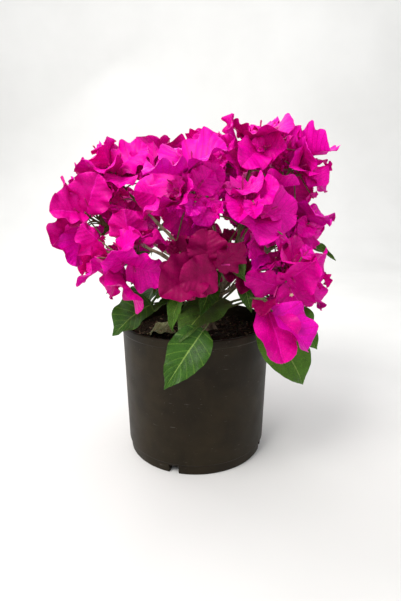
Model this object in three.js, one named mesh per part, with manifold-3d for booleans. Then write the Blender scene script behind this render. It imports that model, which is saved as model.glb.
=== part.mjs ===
// A bougainvillea bush in a black nursery pot: a filled pot with its soil, a short leaning trunk, thin boughs
// that fan out from it, one head of three-bract flowers at the tip of each bough, and sprays of green leaves.
// Millimetres, +Z up, the origin at the centre of the pot's underside. The front is -Y.

import * as THREE from "three";
import { mergeVertices } from "three/addons/utils/BufferGeometryUtils.js";
import Module from "manifold-3d";

const wasm = await Module();
wasm.setup();

// ---------------------------------------------------------------- driving dimensions

const GAP = 0.3; // between two pieces that touch
const TURN = 2 * Math.PI;

const pot = {
  height: 152.5,
  rimRadius: 85,
  lip: { width: 3, height: 8, overhang: 0.9 },
  wall: 1.8,
  foot: { radius: 78.7, height: 12, step: 1.9, recess: 3, width: 7 },
  floor: 3.2,
  gate: { radius: 12 }, // the round foot in the middle of the underside
  notch: { count: 4, first: 252, width: 11, height: 9, depth: 12 },
  sides: 36,
};

const soil = { level: 140, dome: 3.5, lump: 2.2, seat: 16, rings: 5 };

const trunk = {
  foot: [14, 2, soil.level + GAP],
  top: [27, -6, 192],
  bulge: [-3, 3],
  radius: { flare: 11, foot: 7.2, top: 4.2 },
  flareHeight: 9,
  sides: 12,
  rings: 9,
};

const boughs = { radius: { foot: 2.5, tip: 1.5 }, sides: 5, steps: 4, lift: 0.42, ease: 0.3 };
const stems = { radius: { foot: 1.5, tip: 1.1 }, sides: 4, steps: 4 };
const stalk = { radius: { foot: 1.0, tip: 0.85 }, sides: 3 };

const bract = {
  length: 44,
  width: 42,
  thickness: 1.0,
  fullness: [0.45, 0.55], // how fast the outline swells from the base, and closes to the tip
  open: 58, // degrees from the flower's axis
  bend: 26,
  cup: 0.3,
  shingle: 13, // each bract of three lies over the next by this turn
  stagger: 1.3, // along the stalk
  root: 0.38, // off the stalk's axis
  stations: [0.26, 0.66],
};
const leaf = {
  length: 58,
  thickness: 0.9,
  fullness: [0.5, 0.72],
  bend: 50,
  cup: 0.22,
  stations: [0.2, 0.45, 0.74],
};

// How flowers fill a head: over a cap of directions, from seats near its middle, each bract with a few tries.
const filling = {
  cap: 104,
  seat: [0.16, 0.5],
  tries: 20,
  rolls: 6,
  apart: 12,
  clear: 2.2,
  slack: 1.14,
};

// A few straight gaps stay open through the crown: the place that all are seen from, then a point that each
// passes and its radius.
const gaps = {
  seenFrom: [0, -497, 293],
  through: [
    { point: [-110, 0, 262], radius: 6.5 },
    { point: [-97, 0, 240], radius: 5.5 },
    { point: [-40, 0, 230], radius: 5.5 },
    { point: [91, 0, 279], radius: 4.5 },
    { point: [31, 0, 259], radius: 6.5 },
    { point: [40, 0, 194], radius: 4.5 },
  ],
  margin: 1.5,
};

// Each flower head: the bearing of its bough in degrees from +X towards +Y, how far out from the pot's axis
// and how high its middle lies, the radius of the space that it fills, and how many flowers it holds.
const heads = [
  { name: "left_tip", azimuth: 187, reach: 111, height: 267, size: 52, flowers: 13, seed: 73 },
  { name: "left_shoulder", azimuth: 168, reach: 86, height: 303, size: 54, flowers: 13, seed: 63 },
  { name: "left_front", azimuth: 228, reach: 96, height: 232, size: 53, flowers: 13, seed: 9 },
  { name: "front_centre", azimuth: 265, reach: 68, height: 287, size: 54, flowers: 13, seed: 100 },
  { name: "front_low", azimuth: 275, reach: 91, height: 228, size: 50, flowers: 12, seed: 64 },
  { name: "crown_left", azimuth: 60, reach: 20, height: 321, size: 52, flowers: 13, seed: 53 },
  { name: "crown_right", azimuth: 0, reach: 64, height: 338, size: 50, flowers: 13, seed: 31 },
  { name: "right_shoulder", azimuth: 10, reach: 106, height: 318, size: 50, flowers: 14, seed: 71 },
  { name: "front_right", azimuth: 308, reach: 78, height: 272, size: 54, flowers: 13, seed: 78 },
  { name: "right_side", azimuth: 355, reach: 112, height: 258, size: 46, flowers: 11, seed: 56 },
  { name: "right_front", azimuth: 326, reach: 108, height: 213, size: 51, flowers: 12, seed: 36 },
  { name: "crown_back", azimuth: 132, reach: 58, height: 301, size: 52, flowers: 11, seed: 37 },
  { name: "back_left", azimuth: 146, reach: 108, height: 256, size: 58, flowers: 14, seed: 38 },
  { name: "back_middle", azimuth: 94, reach: 106, height: 292, size: 56, flowers: 14, seed: 79 },
  { name: "back_right", azimuth: 48, reach: 114, height: 270, size: 58, flowers: 14, seed: 100 },
  { name: "back_low", azimuth: 90, reach: 108, height: 228, size: 48, flowers: 13, seed: 40 },
];

// The spray that hangs over the rim and the leafy shoots from the trunk. Each blade is given by its base, its
// tip, its width, its bend and its turn about its own length in degrees; a count grows that many by rule.
const shoots = [
  {
    name: "hanging",
    kind: "bracts",
    azimuth: 303,
    reach: 146,
    height: 172,
    size: 64,
    leaves: 0.42,
    hub: [68, -84, 194],
    blades: [
      { base: [66, -88, 192], tip: [81, -110, 140], width: 46, bend: 24, turn: 14 },
      { base: [70, -93, 187], tip: [108, -99, 149], width: 42, bend: 24, turn: 30 },
      { base: [66, -86, 194], tip: [60, -112, 186], width: 22, bend: 40, turn: 0 },
    ],
  },
  {
    name: "front",
    kind: "leaves",
    azimuth: 272,
    reach: 86,
    height: 146,
    size: 60,
    leaves: 0.36,
    hub: [31, -36, 182],
    blades: [
      { base: [28, -44, 187], tip: [-16, -101, 158], width: 48, bend: 34, turn: -10 },
      { base: [8, -92, 168], tip: [-30, -110, 114], width: 40, bend: 30, turn: -50 },
      { base: [-15, -60, 193], tip: [-24, -74, 159], width: 21, bend: 40, turn: 10 },
    ],
  },
  {
    name: "left",
    kind: "leaves",
    azimuth: 205,
    reach: 76,
    height: 166,
    size: 52,
    leaves: 0.3,
    hub: [-20, -26, 176],
    blades: [
      { base: [-46, -38, 180], tip: [-88, -46, 146], width: 44, bend: 40, turn: -35 },
      { base: [-24, -38, 184], tip: [-50, -52, 170], width: 20, bend: 30, turn: 0 },
    ],
  },
  {
    name: "right",
    kind: "leaves",
    azimuth: 345,
    reach: 104,
    height: 130,
    size: 60,
    leaves: 0.3,
    hub: [68, -40, 182],
    blades: [
      { base: [72, -50, 168], tip: [115, -66, 96], width: 50, bend: 40, turn: 60 },
      { base: [90, -38, 176], tip: [131, -45, 130], width: 40, bend: 34, turn: 50 },
    ],
  },
  {
    name: "far_right",
    kind: "leaves",
    azimuth: 13,
    reach: 154,
    height: 220,
    size: 45,
    leaves: 0.5,
    hub: [106, 22, 236],
    blades: [{ base: [122, 25, 239], tip: [166, 22, 217], width: 17, bend: 30, turn: -30 }],
  },
  {
    name: "back_left",
    kind: "leaves",
    azimuth: 145,
    reach: 92,
    height: 172,
    size: 54,
    leaves: 0.2,
    count: 4,
    fan: 84,
    seed: 31,
  },
  {
    name: "back",
    kind: "leaves",
    azimuth: 92,
    reach: 92,
    height: 172,
    size: 50,
    leaves: 0.28,
    count: 3,
    fan: 56,
    seed: 32,
  },
  {
    name: "back_right",
    kind: "leaves",
    azimuth: 35,
    reach: 96,
    height: 172,
    size: 54,
    leaves: 0.24,
    count: 4,
    fan: 84,
    seed: 33,
  },
];

// A dried leaf that lies on the soil on both of its ends.
const dryLeaf = { base: [-52, -12], tip: [-22, -19], width: 25, bend: 56, turn: 8 };

// ---------------------------------------------------------------- small helpers

const vector = (x, y, z) => new THREE.Vector3(x, y, z);
const radians = (degrees) => (degrees * Math.PI) / 180;
const along = (from, direction, distance) => from.clone().addScaledVector(direction, distance);

// A seeded stream of numbers from 0 to 1.
function randomStream(seed) {
  let state = seed >>> 0;
  return () => {
    state = (state + 0x6d2b79f5) >>> 0;
    let t = state;
    t = Math.imul(t ^ (t >>> 15), t | 1);
    t ^= t + Math.imul(t ^ (t >>> 7), t | 61);
    return ((t ^ (t >>> 14)) >>> 0) / 4294967296;
  };
}

// Two unit vectors that are square to an axis and to each other.
function squareTo(axis) {
  const reference = Math.abs(axis.z) < 0.9 ? vector(0, 0, 1) : vector(1, 0, 0);
  const side = reference.cross(axis).normalize();
  return [side, axis.clone().cross(side)];
}

function solidOf(geometry) {
  const bare = geometry.clone();
  bare.deleteAttribute("normal");
  bare.deleteAttribute("uv");
  const merged = mergeVertices(bare, 1e-3);
  return new wasm.Manifold(
    new wasm.Mesh({
      numProp: 3,
      vertProperties: merged.attributes.position.array,
      triVerts: new Uint32Array(merged.index.array),
    }),
  );
}

function geometryOf(solid) {
  const mesh = solid.getMesh();
  return new THREE.BufferGeometry()
    .setAttribute("position", new THREE.BufferAttribute(mesh.vertProperties, 3))
    .setIndex(new THREE.BufferAttribute(mesh.triVerts, 1));
}

function closedMesh(points, faces) {
  const geometry = new THREE.BufferGeometry().setFromPoints(points);
  geometry.setIndex(faces.flat());
  return geometry;
}

const joined = (solids) => solids.reduce((whole, next) => whole.add(next));

// The largest of a solid's loose bodies, once its corners have settled to the precision that they have as kept.
function largestOf(solid) {
  const largest = (bodies) => bodies.reduce((best, body) => (body.volume() > best.volume() ? body : best));
  return largest(solidOf(geometryOf(largest(solid.decompose()))).decompose());
}

// A tapering round limb along a list of points, as one closed solid. Its rings turn with the line, untwisted.
function limbSolid(points, radii, sides) {
  const vertices = [];
  let side = null;
  points.forEach((point, i) => {
    const before = points[Math.max(i - 1, 0)];
    const after = points[Math.min(i + 1, points.length - 1)];
    const axis = after.clone().sub(before).normalize();
    side = side ? side.addScaledVector(axis, -side.dot(axis)).normalize() : squareTo(axis)[0];
    const up = axis.clone().cross(side);
    for (let k = 0; k < sides; k++) {
      const turn = (TURN * k) / sides;
      vertices.push(along(along(point, side, radii[i] * Math.cos(turn)), up, radii[i] * Math.sin(turn)));
    }
  });
  const faces = [];
  for (let i = 0; i + 1 < points.length; i++)
    for (let k = 0; k < sides; k++) {
      const [a, b] = [i * sides + k, i * sides + ((k + 1) % sides)];
      faces.push([a, b, b + sides], [a, b + sides, a + sides]);
    }
  const last = (points.length - 1) * sides;
  for (let k = 1; k + 1 < sides; k++) {
    faces.push([0, k + 1, k]);
    faces.push([last, last + k, last + k + 1]);
  }
  return solidOf(closedMesh(vertices, faces));
}

// ---------------------------------------------------------------- pot and soil

const innerRadius = pot.rimRadius - pot.lip.width;
const wallTop = pot.rimRadius - pot.lip.overhang;
const wallFoot = pot.foot.radius + pot.foot.step;

function potSolid() {
  const { height, lip, wall, foot, floor, gate, notch } = pot;
  const lipFoot = height - lip.height;
  const profile = [
    [0, 0],
    [gate.radius, 0],
    [gate.radius + foot.recess, foot.recess],
    [foot.radius - foot.width - foot.recess, foot.recess],
    [foot.radius - foot.width, 0],
    [foot.radius - 1, 0],
    [foot.radius, 1.5],
    [foot.radius + 0.3, foot.height - 1],
    [wallFoot, foot.height],
    [wallTop, lipFoot - 1],
    [pot.rimRadius, lipFoot],
    [pot.rimRadius, height - 0.8],
    [pot.rimRadius - 0.8, height],
    [innerRadius, height],
    [innerRadius, lipFoot],
    [wallTop - wall, lipFoot - 2],
    [wallFoot - wall, foot.height + floor],
    [wallFoot - wall - 4, foot.recess + floor],
    [0, foot.recess + floor],
  ].map(([r, z]) => new THREE.Vector2(r, z));
  const shell = solidOf(new THREE.LatheGeometry(profile, pot.sides).rotateX(Math.PI / 2));
  const cut = new THREE.BoxGeometry(notch.depth * 2, notch.width, notch.height * 2);
  return Array.from({ length: notch.count }, (_, i) => radians(notch.first + (360 * i) / notch.count)).reduce(
    (body, turn) => {
      const notchBox = cut.clone().translate(foot.radius, 0, 0).rotateZ(turn);
      return body.subtract(solidOf(notchBox));
    },
    shell,
  );
}

// The soil's height at a place: a low dome with soft lumps, flat where the trunk stands.
function soilHeight(x, y) {
  const outward = Math.hypot(x, y) / innerRadius;
  const lumps = Math.sin(x * 0.13 + 1) * Math.cos(y * 0.11) + 0.6 * Math.sin(x * 0.07 - y * 0.16 + 2);
  const fromSeat = Math.hypot(x - trunk.foot[0], y - trunk.foot[1]) / soil.seat;
  const share = Math.min(1, Math.max(0, fromSeat - 1));
  return soil.level + share * (soil.lump * lumps - soil.dome * outward * outward - 1);
}

function soilSolid() {
  const floorTop = pot.foot.recess + pot.floor + GAP;
  const slope = (wallTop - wallFoot) / (pot.height - pot.lip.height - pot.foot.height);
  const wallAt = (z) => wallFoot - pot.wall - GAP + slope * (z - pot.foot.height) - 0.25;
  const cornerHeight = pot.foot.height + pot.floor;
  const edgeHeight = soil.level - soil.dome - 2 * soil.lump;
  const edgeRadius = wallAt(edgeHeight);
  const side = [
    [wallAt(cornerHeight) - 4.4, floorTop],
    [wallAt(cornerHeight), cornerHeight],
    [edgeRadius, edgeHeight],
  ];
  const vertices = [];
  const ring = (radius, height) => {
    for (let k = 0; k < pot.sides; k++) {
      const turn = (TURN * k) / pot.sides;
      const [x, y] = [radius * Math.cos(turn), radius * Math.sin(turn)];
      vertices.push(vector(x, y, height ?? soilHeight(x, y)));
    }
  };
  side.forEach(([radius, height]) => ring(radius, height));
  for (let i = 0; i < soil.rings; i++) ring(edgeRadius * (0.985 - i / soil.rings));
  const rings = side.length + soil.rings;
  const faces = [];
  for (let i = 0; i + 1 < rings; i++)
    for (let k = 0; k < pot.sides; k++) {
      const [a, b] = [i * pot.sides + k, i * pot.sides + ((k + 1) % pot.sides)];
      faces.push([a, b, b + pot.sides], [a, b + pot.sides, a + pot.sides]);
    }
  const under = vertices.push(vector(0, 0, floorTop)) - 1;
  const top = vertices.push(vector(0, 0, soilHeight(0, 0))) - 1;
  const last = (rings - 1) * pot.sides;
  for (let k = 0; k < pot.sides; k++) {
    const next = (k + 1) % pot.sides;
    faces.push([under, next, k], [top, last + k, last + next]);
  }
  return solidOf(closedMesh(vertices, faces));
}

// ---------------------------------------------------------------- trunk and boughs

function trunkPoint(share) {
  const [foot, top] = [vector(...trunk.foot), vector(...trunk.top)];
  const swell = Math.sin(Math.PI * share);
  return foot.lerp(top, share).add(vector(trunk.bulge[0] * swell, trunk.bulge[1] * swell, 0));
}

function trunkRadius(share) {
  const { flare, foot, top } = trunk.radius;
  const height = share * (trunk.top[2] - trunk.foot[2]);
  return foot + (top - foot) * share + (flare - foot) * Math.exp(-height / (trunk.flareHeight / 2));
}

function trunkSolid(grown = 0) {
  const shares = Array.from({ length: trunk.rings }, (_, i) => (i / (trunk.rings - 1)) ** 1.3);
  const raw = limbSolid(
    shares.map((share, i) => (i === 0 ? along(trunkPoint(0), vector(0, 0, -1), 6) : trunkPoint(share))),
    shares.map((share) => trunkRadius(share) + grown),
    trunk.sides,
  );
  return raw.trimByPlane([0, 0, 1], trunk.foot[2] - grown);
}

const crownHeart = vector(...trunk.top);
const bearingOf = (degrees) => vector(Math.cos(radians(degrees)), Math.sin(radians(degrees)), 0);
const middleOf = ({ azimuth, reach, height }) => bearingOf(azimuth).multiplyScalar(reach).setZ(height);

// A limb's middle line: out of its foot in one direction, and into its tip in another.
function limbPath(foot, setOff, tip, arrive, steps) {
  const length = foot.distanceTo(tip);
  const curve = new THREE.CubicBezierCurve3(
    foot,
    along(foot, setOff, length * boughs.lift),
    along(tip, arrive, -length * boughs.ease),
    tip,
  );
  return Array.from({ length: steps + 1 }, (_, i) => curve.getPoint(i / steps));
}

const taper = ({ foot, tip }, steps, grown) =>
  Array.from({ length: steps + 1 }, (_, i) => foot + ((tip - foot) * i) / steps + grown);

// A bough leaves the trunk at a height that follows its head's, and ends where it enters the head.
const headHeights = heads.map((row) => row.height);
const [lowestHead, highestHead] = [Math.min(...headHeights), Math.max(...headHeights)];

function boughLine(row) {
  const centre = middleOf(row);
  const outward = centre.clone().sub(crownHeart).normalize();
  const share = 0.5 + (0.46 * (row.height - lowestHead)) / (highestHead - lowestHead);
  const foot = along(trunkPoint(share), bearingOf(row.azimuth), 1.5);
  const rise = bearingOf(row.azimuth).multiplyScalar(0.7).setZ(1).normalize();
  const tip = along(centre, outward, -row.size * 0.8);
  return limbPath(foot, rise, tip, outward, boughs.steps);
}

// A shoot's stem leaves the trunk below the boughs and runs to the hub where its leaf stalks part.
const hubOf = (row) =>
  row.hub ? vector(...row.hub) : bearingOf(row.azimuth).multiplyScalar(48).setZ(row.height + 8);

function stemLine(row) {
  const hub = hubOf(row);
  const foot = trunkPoint(row.leaves);
  const away = hub.clone().sub(foot).setZ(0).normalize();
  return limbPath(foot, away.clone().setZ(0.45).normalize(), hub, away, stems.steps);
}

const limbSolidOf = (line, { radius, sides }, grown = 0) =>
  limbSolid(line, taper(radius, line.length - 1, grown), sides);

// ---------------------------------------------------------------- blades: bracts and leaves

// The share of a blade's half width at a share of its length, 1 where it is widest.
function outline(t, [swell, close]) {
  const widest = swell / (swell + close);
  return (t / widest) ** swell * ((1 - t) / (1 - widest)) ** close;
}

// A blade grows from base along its direction, with its upper face towards up. Its midrib bends away from up
// by bend radians over its length, and its sides lift towards up by cup times their width.
function bladePoint(blade, t, across) {
  const { base, direction, up, length, width, bend, cup, fullness } = blade;
  const side = direction.clone().cross(up);
  const turned = bend * t;
  const ahead = Math.abs(bend) < 1e-6 ? length * t : (length / bend) * Math.sin(turned);
  const down = Math.abs(bend) < 1e-6 ? 0 : (length / bend) * (1 - Math.cos(turned));
  const normal = up.clone().multiplyScalar(Math.cos(turned)).addScaledVector(direction, Math.sin(turned));
  const reach = 0.5 * width * outline(t, fullness) * across;
  const point = along(along(base, direction, ahead), up, -down);
  return along(along(point, side, reach), normal, cup * Math.abs(reach));
}

function bladeNormal({ direction, up, bend }, t) {
  return up.clone().multiplyScalar(Math.cos(bend * t)).addScaledVector(direction, Math.sin(bend * t));
}

// The blade as a closed solid: full thickness on the midrib, thin at its edges.
function bladeSolid(blade, { stations, thickness }) {
  const vertices = [bladePoint(blade, 0, 0)];
  stations.forEach((t) => {
    const middle = bladePoint(blade, t, 0);
    const normal = bladeNormal(blade, t);
    vertices.push(bladePoint(blade, t, -1), along(middle, normal, thickness / 2));
    vertices.push(bladePoint(blade, t, 1), along(middle, normal, -thickness / 2));
  });
  const tip = vertices.push(bladePoint(blade, 1, 0)) - 1;
  const faces = [];
  for (let k = 0; k < 4; k++) faces.push([0, 1 + ((k + 1) % 4), 1 + k]);
  for (let i = 0; i + 1 < stations.length; i++)
    for (let k = 0; k < 4; k++) {
      const [a, b] = [1 + 4 * i + k, 1 + 4 * i + ((k + 1) % 4)];
      faces.push([a, b, b + 4], [a, b + 4, a + 4]);
    }
  const last = 1 + 4 * (stations.length - 1);
  for (let k = 0; k < 4; k++) faces.push([last + k, last + ((k + 1) % 4), tip]);
  return solidOf(closedMesh(vertices, faces));
}

// Points all over a blade, for testing its space.
function bladeSamples(blade) {
  const samples = [];
  for (const t of [0.12, 0.28, 0.46, 0.64, 0.82]) {
    for (const across of [-1, -0.5, 0, 0.5, 1]) samples.push(bladePoint(blade, t, across));
  }
  samples.push(bladePoint(blade, 1, 0));
  return samples;
}

// A blade from a base to a tip, turned about the line between them; with no turn its face looks up.
function bladeBetween({ base, tip, width, bend, turn }, { cup, fullness }) {
  const [from, to] = [vector(...base), vector(...tip)];
  const chord = to.clone().sub(from);
  const distance = chord.length();
  chord.normalize();
  const face = vector(0, 0, 1).addScaledVector(chord, -chord.z).normalize();
  face.applyAxisAngle(chord, radians(turn));
  const half = radians(bend) / 2;
  return {
    base: from,
    direction: chord.clone().multiplyScalar(Math.cos(half)).addScaledVector(face, Math.sin(half)),
    up: face.clone().multiplyScalar(Math.cos(half)).addScaledVector(chord, -Math.sin(half)),
    length: (distance * half) / Math.sin(half),
    width,
    bend: 2 * half,
    cup,
    fullness,
  };
}

// ---------------------------------------------------------------- spaces

const masses = [...heads, ...shoots];
const middles = masses.map(middleOf);

// Each mass keeps to a ball round its middle. Where two balls overlap a plane parts them, which both keep off.
function insideSpace(point, index) {
  const own = masses[index];
  const fromOwn = point.distanceToSquared(middles[index]);
  if (fromOwn > (own.size * filling.slack) ** 2) return false;
  return masses.every((other, i) => {
    if (i === index) return true;
    const lead = point.distanceToSquared(middles[i]) - other.size ** 2 - fromOwn + own.size ** 2;
    return lead > 2 * GAP * middles[i].distanceTo(middles[index]);
  });
}

function distanceToLine(point, line) {
  let nearest = Infinity;
  for (let i = 0; i + 1 < line.length; i++) {
    const span = line[i + 1].clone().sub(line[i]);
    const share = point.clone().sub(line[i]).dot(span) / span.lengthSq();
    const foot = along(line[i], span, Math.min(1, Math.max(0, share)));
    nearest = Math.min(nearest, foot.distanceTo(point));
  }
  return nearest;
}

const limbs = [
  { line: [0, 0.25, 0.5, 0.75, 1].map(trunkPoint), radius: trunk.radius.foot, owner: null },
  ...heads.map((row) => ({ line: boughLine(row), radius: boughs.radius.foot, owner: null })),
  ...shoots.map((row) => ({ line: stemLine(row), radius: stems.radius.foot, owner: row })),
];

const clearOfLimbs = (point, mass) =>
  limbs.every(({ line, radius, owner }) => owner === mass || distanceToLine(point, line) > radius + filling.clear);

const sightLines = gaps.through.map(({ point, radius }) => {
  const start = vector(...gaps.seenFrom);
  return { ray: new THREE.Ray(start, vector(...point).sub(start).normalize()), radius };
});
const clearOfGaps = (point) =>
  sightLines.every(({ ray, radius }) => ray.distanceToPoint(point) > radius + gaps.margin);

// Over the rim a blade may hang outside the pot, and nothing reaches down inside it.
const clearOfPot = (point) =>
  point.z > pot.height + 2 || (point.z > 60 && Math.hypot(point.x, point.y) > pot.rimRadius + 2);

// The blade's middle surface as triangles, and the edges of that surface with its midrib.
function bladeSheet(blade, { stations }) {
  const rows = stations.map((t) => [-1, 0, 1].map((across) => bladePoint(blade, t, across)));
  const [base, tip] = [bladePoint(blade, 0, 0), bladePoint(blade, 1, 0)];
  const triangles = [];
  const lines = [0, 1, 2].map((side) => [base, ...rows.map((row) => row[side]), tip]);
  for (const side of [0, 1])
    for (let i = 0; i + 1 < lines[0].length; i++) {
      const [a, b, c, d] = [lines[side][i], lines[side + 1][i], lines[side][i + 1], lines[side + 1][i + 1]];
      if (i > 0) triangles.push([a, b, c]);
      if (i + 2 < lines[0].length) triangles.push([b, d, c]);
    }
  const edges = lines.flatMap((line) => line.slice(1).map((point, i) => [line[i], point]));
  return { triangles, edges };
}

function edgeMeetsTriangle([from, to], [a, b, c]) {
  const ray = to.clone().sub(from);
  const [ab, ac] = [b.clone().sub(a), c.clone().sub(a)];
  const cross = ray.clone().cross(ac);
  const scale = ab.dot(cross);
  if (Math.abs(scale) < 1e-9) return false;
  const start = from.clone().sub(a);
  const u = start.dot(cross) / scale;
  if (u < 0 || u > 1) return false;
  const turned = start.cross(ab);
  const v = ray.dot(turned) / scale;
  if (v < 0 || u + v > 1) return false;
  const share = ac.dot(turned) / scale;
  return share >= 0 && share <= 1;
}

const edgeMeetsSheet = (edge, sheet) => sheet.triangles.some((triangle) => edgeMeetsTriangle(edge, triangle));

const sheetsCross = (one, other) =>
  one.edges.some((edge) => edgeMeetsSheet(edge, other)) || other.edges.some((edge) => edgeMeetsSheet(edge, one));

const fits = (blade, index) =>
  bladeSamples(blade).every(
    (point) => insideSpace(point, index) && clearOfPot(point) && clearOfLimbs(point, masses[index]),
  );

// ---------------------------------------------------------------- flowers and heads

// One of the three bracts of a flower, round an axis from the end of its stalk.
function rollBract(seat, axis, turn, size, random) {
  const [side, up] = squareTo(axis);
  const around = turn + (random() - 0.5) * 0.5;
  const radial = side.clone().multiplyScalar(Math.cos(around)).addScaledVector(up, Math.sin(around));
  const open = radians(bract.open + (random() - 0.5) * 50);
  const direction = axis.clone().multiplyScalar(Math.cos(open)).addScaledVector(radial, Math.sin(open));
  const face = axis.clone().multiplyScalar(Math.sin(open)).addScaledVector(radial, -Math.cos(open));
  return {
    base: along(seat, radial, bract.root),
    direction,
    up: face.applyAxisAngle(direction, radians(bract.shingle)),
    length: bract.length * size * (0.92 + 0.16 * random()),
    width: bract.width * size * (0.92 + 0.16 * random()),
    bend: radians(bract.bend + (random() - 0.5) * 60),
    cup: bract.cup * (0.4 + 1.2 * random()),
    fullness: bract.fullness,
  };
}

// A flower's bracts: each is rolled again, a little smaller, until it fits. Fewer than two don't make a flower.
function growFlower(index, seat, axis, others, stalks, random) {
  const twist = random() * TURN;
  const bracts = [];
  for (let k = 0; k < 3; k++) {
    for (let roll = 0; roll < filling.rolls; roll++) {
      const root = along(seat, axis, bract.stagger * (k - 1));
      const blade = rollBract(root, axis, twist + (TURN * k) / 3, 1.08 - 0.06 * roll, random);
      const middle = bladePoint(blade, 0.5, 0);
      const near = others.filter((other) => other.middle.distanceTo(middle) < bract.length * 1.4);
      if (near.some((other) => other.middle.distanceTo(middle) < filling.apart)) continue;
      if (!fits(blade, index) || !bladeSamples(blade).every(clearOfGaps)) continue;
      const sheet = bladeSheet(blade, bract);
      if (near.some((other) => sheetsCross(sheet, other.sheet))) continue;
      if (stalks.some((edge) => edgeMeetsSheet(edge, sheet))) continue;
      bracts.push({ blade, sheet, middle });
      break;
    }
  }
  return bracts;
}

// A head's stem runs on from its bough's tip to near the head's middle.
function headStem(index) {
  const row = heads[index];
  const line = boughLine(row);
  const outward = middles[index].clone().sub(crownHeart).normalize();
  return [along(line[line.length - 1], outward, GAP + 0.1), along(middles[index], outward, row.size * 0.1)];
}

// The flowers of a head, spread evenly over a cap that faces away from the crown's heart. Each has a stalk
// from the stem; the outermost leave it last.
function growHead(index) {
  const row = heads[index];
  const centre = middles[index];
  const outward = centre.clone().sub(crownHeart).normalize();
  const [stemFoot, stemTip] = headStem(index);
  const random = randomStream(row.seed);
  const [side, up] = squareTo(outward);
  const phase = random() * TURN;
  const flowers = [];
  for (let k = 0; k < row.flowers; k++) {
    const fork = stemTip.clone().lerp(stemFoot, (0.75 * k) / row.flowers);
    for (let attempt = 0; attempt < filling.tries; attempt++) {
      const polar = Math.acos(1 - ((k + random()) / row.flowers) * (1 - Math.cos(radians(filling.cap))));
      const around = phase + Math.PI * (3 - Math.sqrt(5)) * k + (random() - 0.5) * 0.2 * attempt;
      const axis = outward.clone().multiplyScalar(Math.cos(polar));
      axis.addScaledVector(side, Math.sin(polar) * Math.cos(around));
      axis.addScaledVector(up, Math.sin(polar) * Math.sin(around));
      const [near, far] = filling.seat;
      const seat = along(centre, axis, row.size * (near + (far - near) * random()));
      const grown = flowers.flatMap((flower) => flower.bracts);
      const run = [fork, along(seat, axis, bract.stagger)];
      if (grown.some(({ sheet }) => edgeMeetsSheet(run, sheet))) continue;
      const stalks = [[stemFoot, stemTip], ...flowers.map((flower) => flower.run)];
      const bracts = growFlower(index, seat, axis, grown, stalks, random);
      if (bracts.length > 1) {
        flowers.push({ run, bracts });
        break;
      }
    }
  }
  return flowers;
}

function headSolid(index) {
  const radius = boughs.radius.tip;
  const parts = [limbSolid(headStem(index), [radius, radius * 0.8], stems.sides)];
  for (const { run, bracts } of growHead(index)) {
    parts.push(limbSolidOf(run, stalk));
    for (const { blade } of bracts) parts.push(bladeSolid(blade, bract));
  }
  return joined(parts);
}

// ---------------------------------------------------------------- leafy shoots

// Leaves that fan out and droop all round a shoot's bearing, each from a base round its hub.
function growLeaves(row) {
  const random = randomStream(row.seed);
  const hub = hubOf(row);
  return Array.from({ length: row.count }, (_, k) => {
    const spread = ((k + 0.5) / row.count - 0.5) * row.fan + (random() - 0.5) * 12;
    const heading = bearingOf(row.azimuth + spread);
    const high = k % 2;
    const base = along(hub, heading, 10 + 10 * random()).setZ(hub.z + 4 + 12 * high);
    const length = leaf.length * (0.8 + 0.35 * random());
    const tip = along(base, heading, length * (high ? 0.88 : 0.66));
    tip.z -= length * (high ? 0.3 : 0.62);
    const blade = {
      base: base.toArray(),
      tip: tip.toArray(),
      width: length * (0.56 + 0.12 * random()),
      bend: leaf.bend * (0.7 + 0.6 * random()),
      turn: (random() - 0.5) * 40,
    };
    return bladeBetween(blade, leaf);
  });
}

const shapeOf = (row) => (row.kind === "bracts" ? bract : leaf);
const shootBlades = (row) =>
  row.blades ? row.blades.map((blade) => bladeBetween(blade, shapeOf(row))) : growLeaves(row);

function shootSolid(row, index) {
  const hub = hubOf(row);
  const line = stemLine(row);
  const parts = [limbSolidOf(line, stems)];
  for (const blade of shootBlades(row)) {
    if (!fits(blade, index)) continue;
    const into = along(blade.base, blade.direction, 3);
    const before = along(blade.base, blade.direction, -1);
    const away = before.clone().sub(hub).normalize();
    parts.push(limbSolidOf([along(hub, away, -1), before, into], stalk));
    parts.push(bladeSolid(blade, shapeOf(row)));
  }
  return joined(parts);
}

// ---------------------------------------------------------------- the whole plant

const finishes = {
  pot: { color: 0x2f2b26, roughness: 0.55, metalness: 0 },
  soil: { color: 0x2a1f17, roughness: 1, metalness: 0 },
  bark: { color: 0x6d6248, roughness: 0.9, metalness: 0 },
  bracts: { color: 0xd2067f, roughness: 0.6, metalness: 0 },
  leaves: { color: 0x3f5f22, roughness: 0.5, metalness: 0 },
  dry: { color: 0xa89f78, roughness: 0.9, metalness: 0 },
};
const materials = Object.fromEntries(
  Object.entries(finishes).map(([name, finish]) => [name, new THREE.MeshStandardMaterial(finish)]),
);

const plant = new THREE.Group();

function place(name, solid, material) {
  const mesh = new THREE.Mesh(geometryOf(solid), materials[material]);
  mesh.name = name;
  plant.add(mesh);
}

place("pot", potSolid(), "pot");
place("soil", soilSolid(), "soil");
place("trunk", trunkSolid(), "bark");
const [dryBase, dryTip] = [dryLeaf.base, dryLeaf.tip].map(([x, y]) => [x, y, soilHeight(x, y)]);
const dried = bladeSolid(bladeBetween({ ...dryLeaf, base: dryBase, tip: dryTip }, leaf), leaf);
place("dry_leaf", largestOf(dried.subtract(soilSolid().translate([0, 0, GAP]))), "dry");

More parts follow.
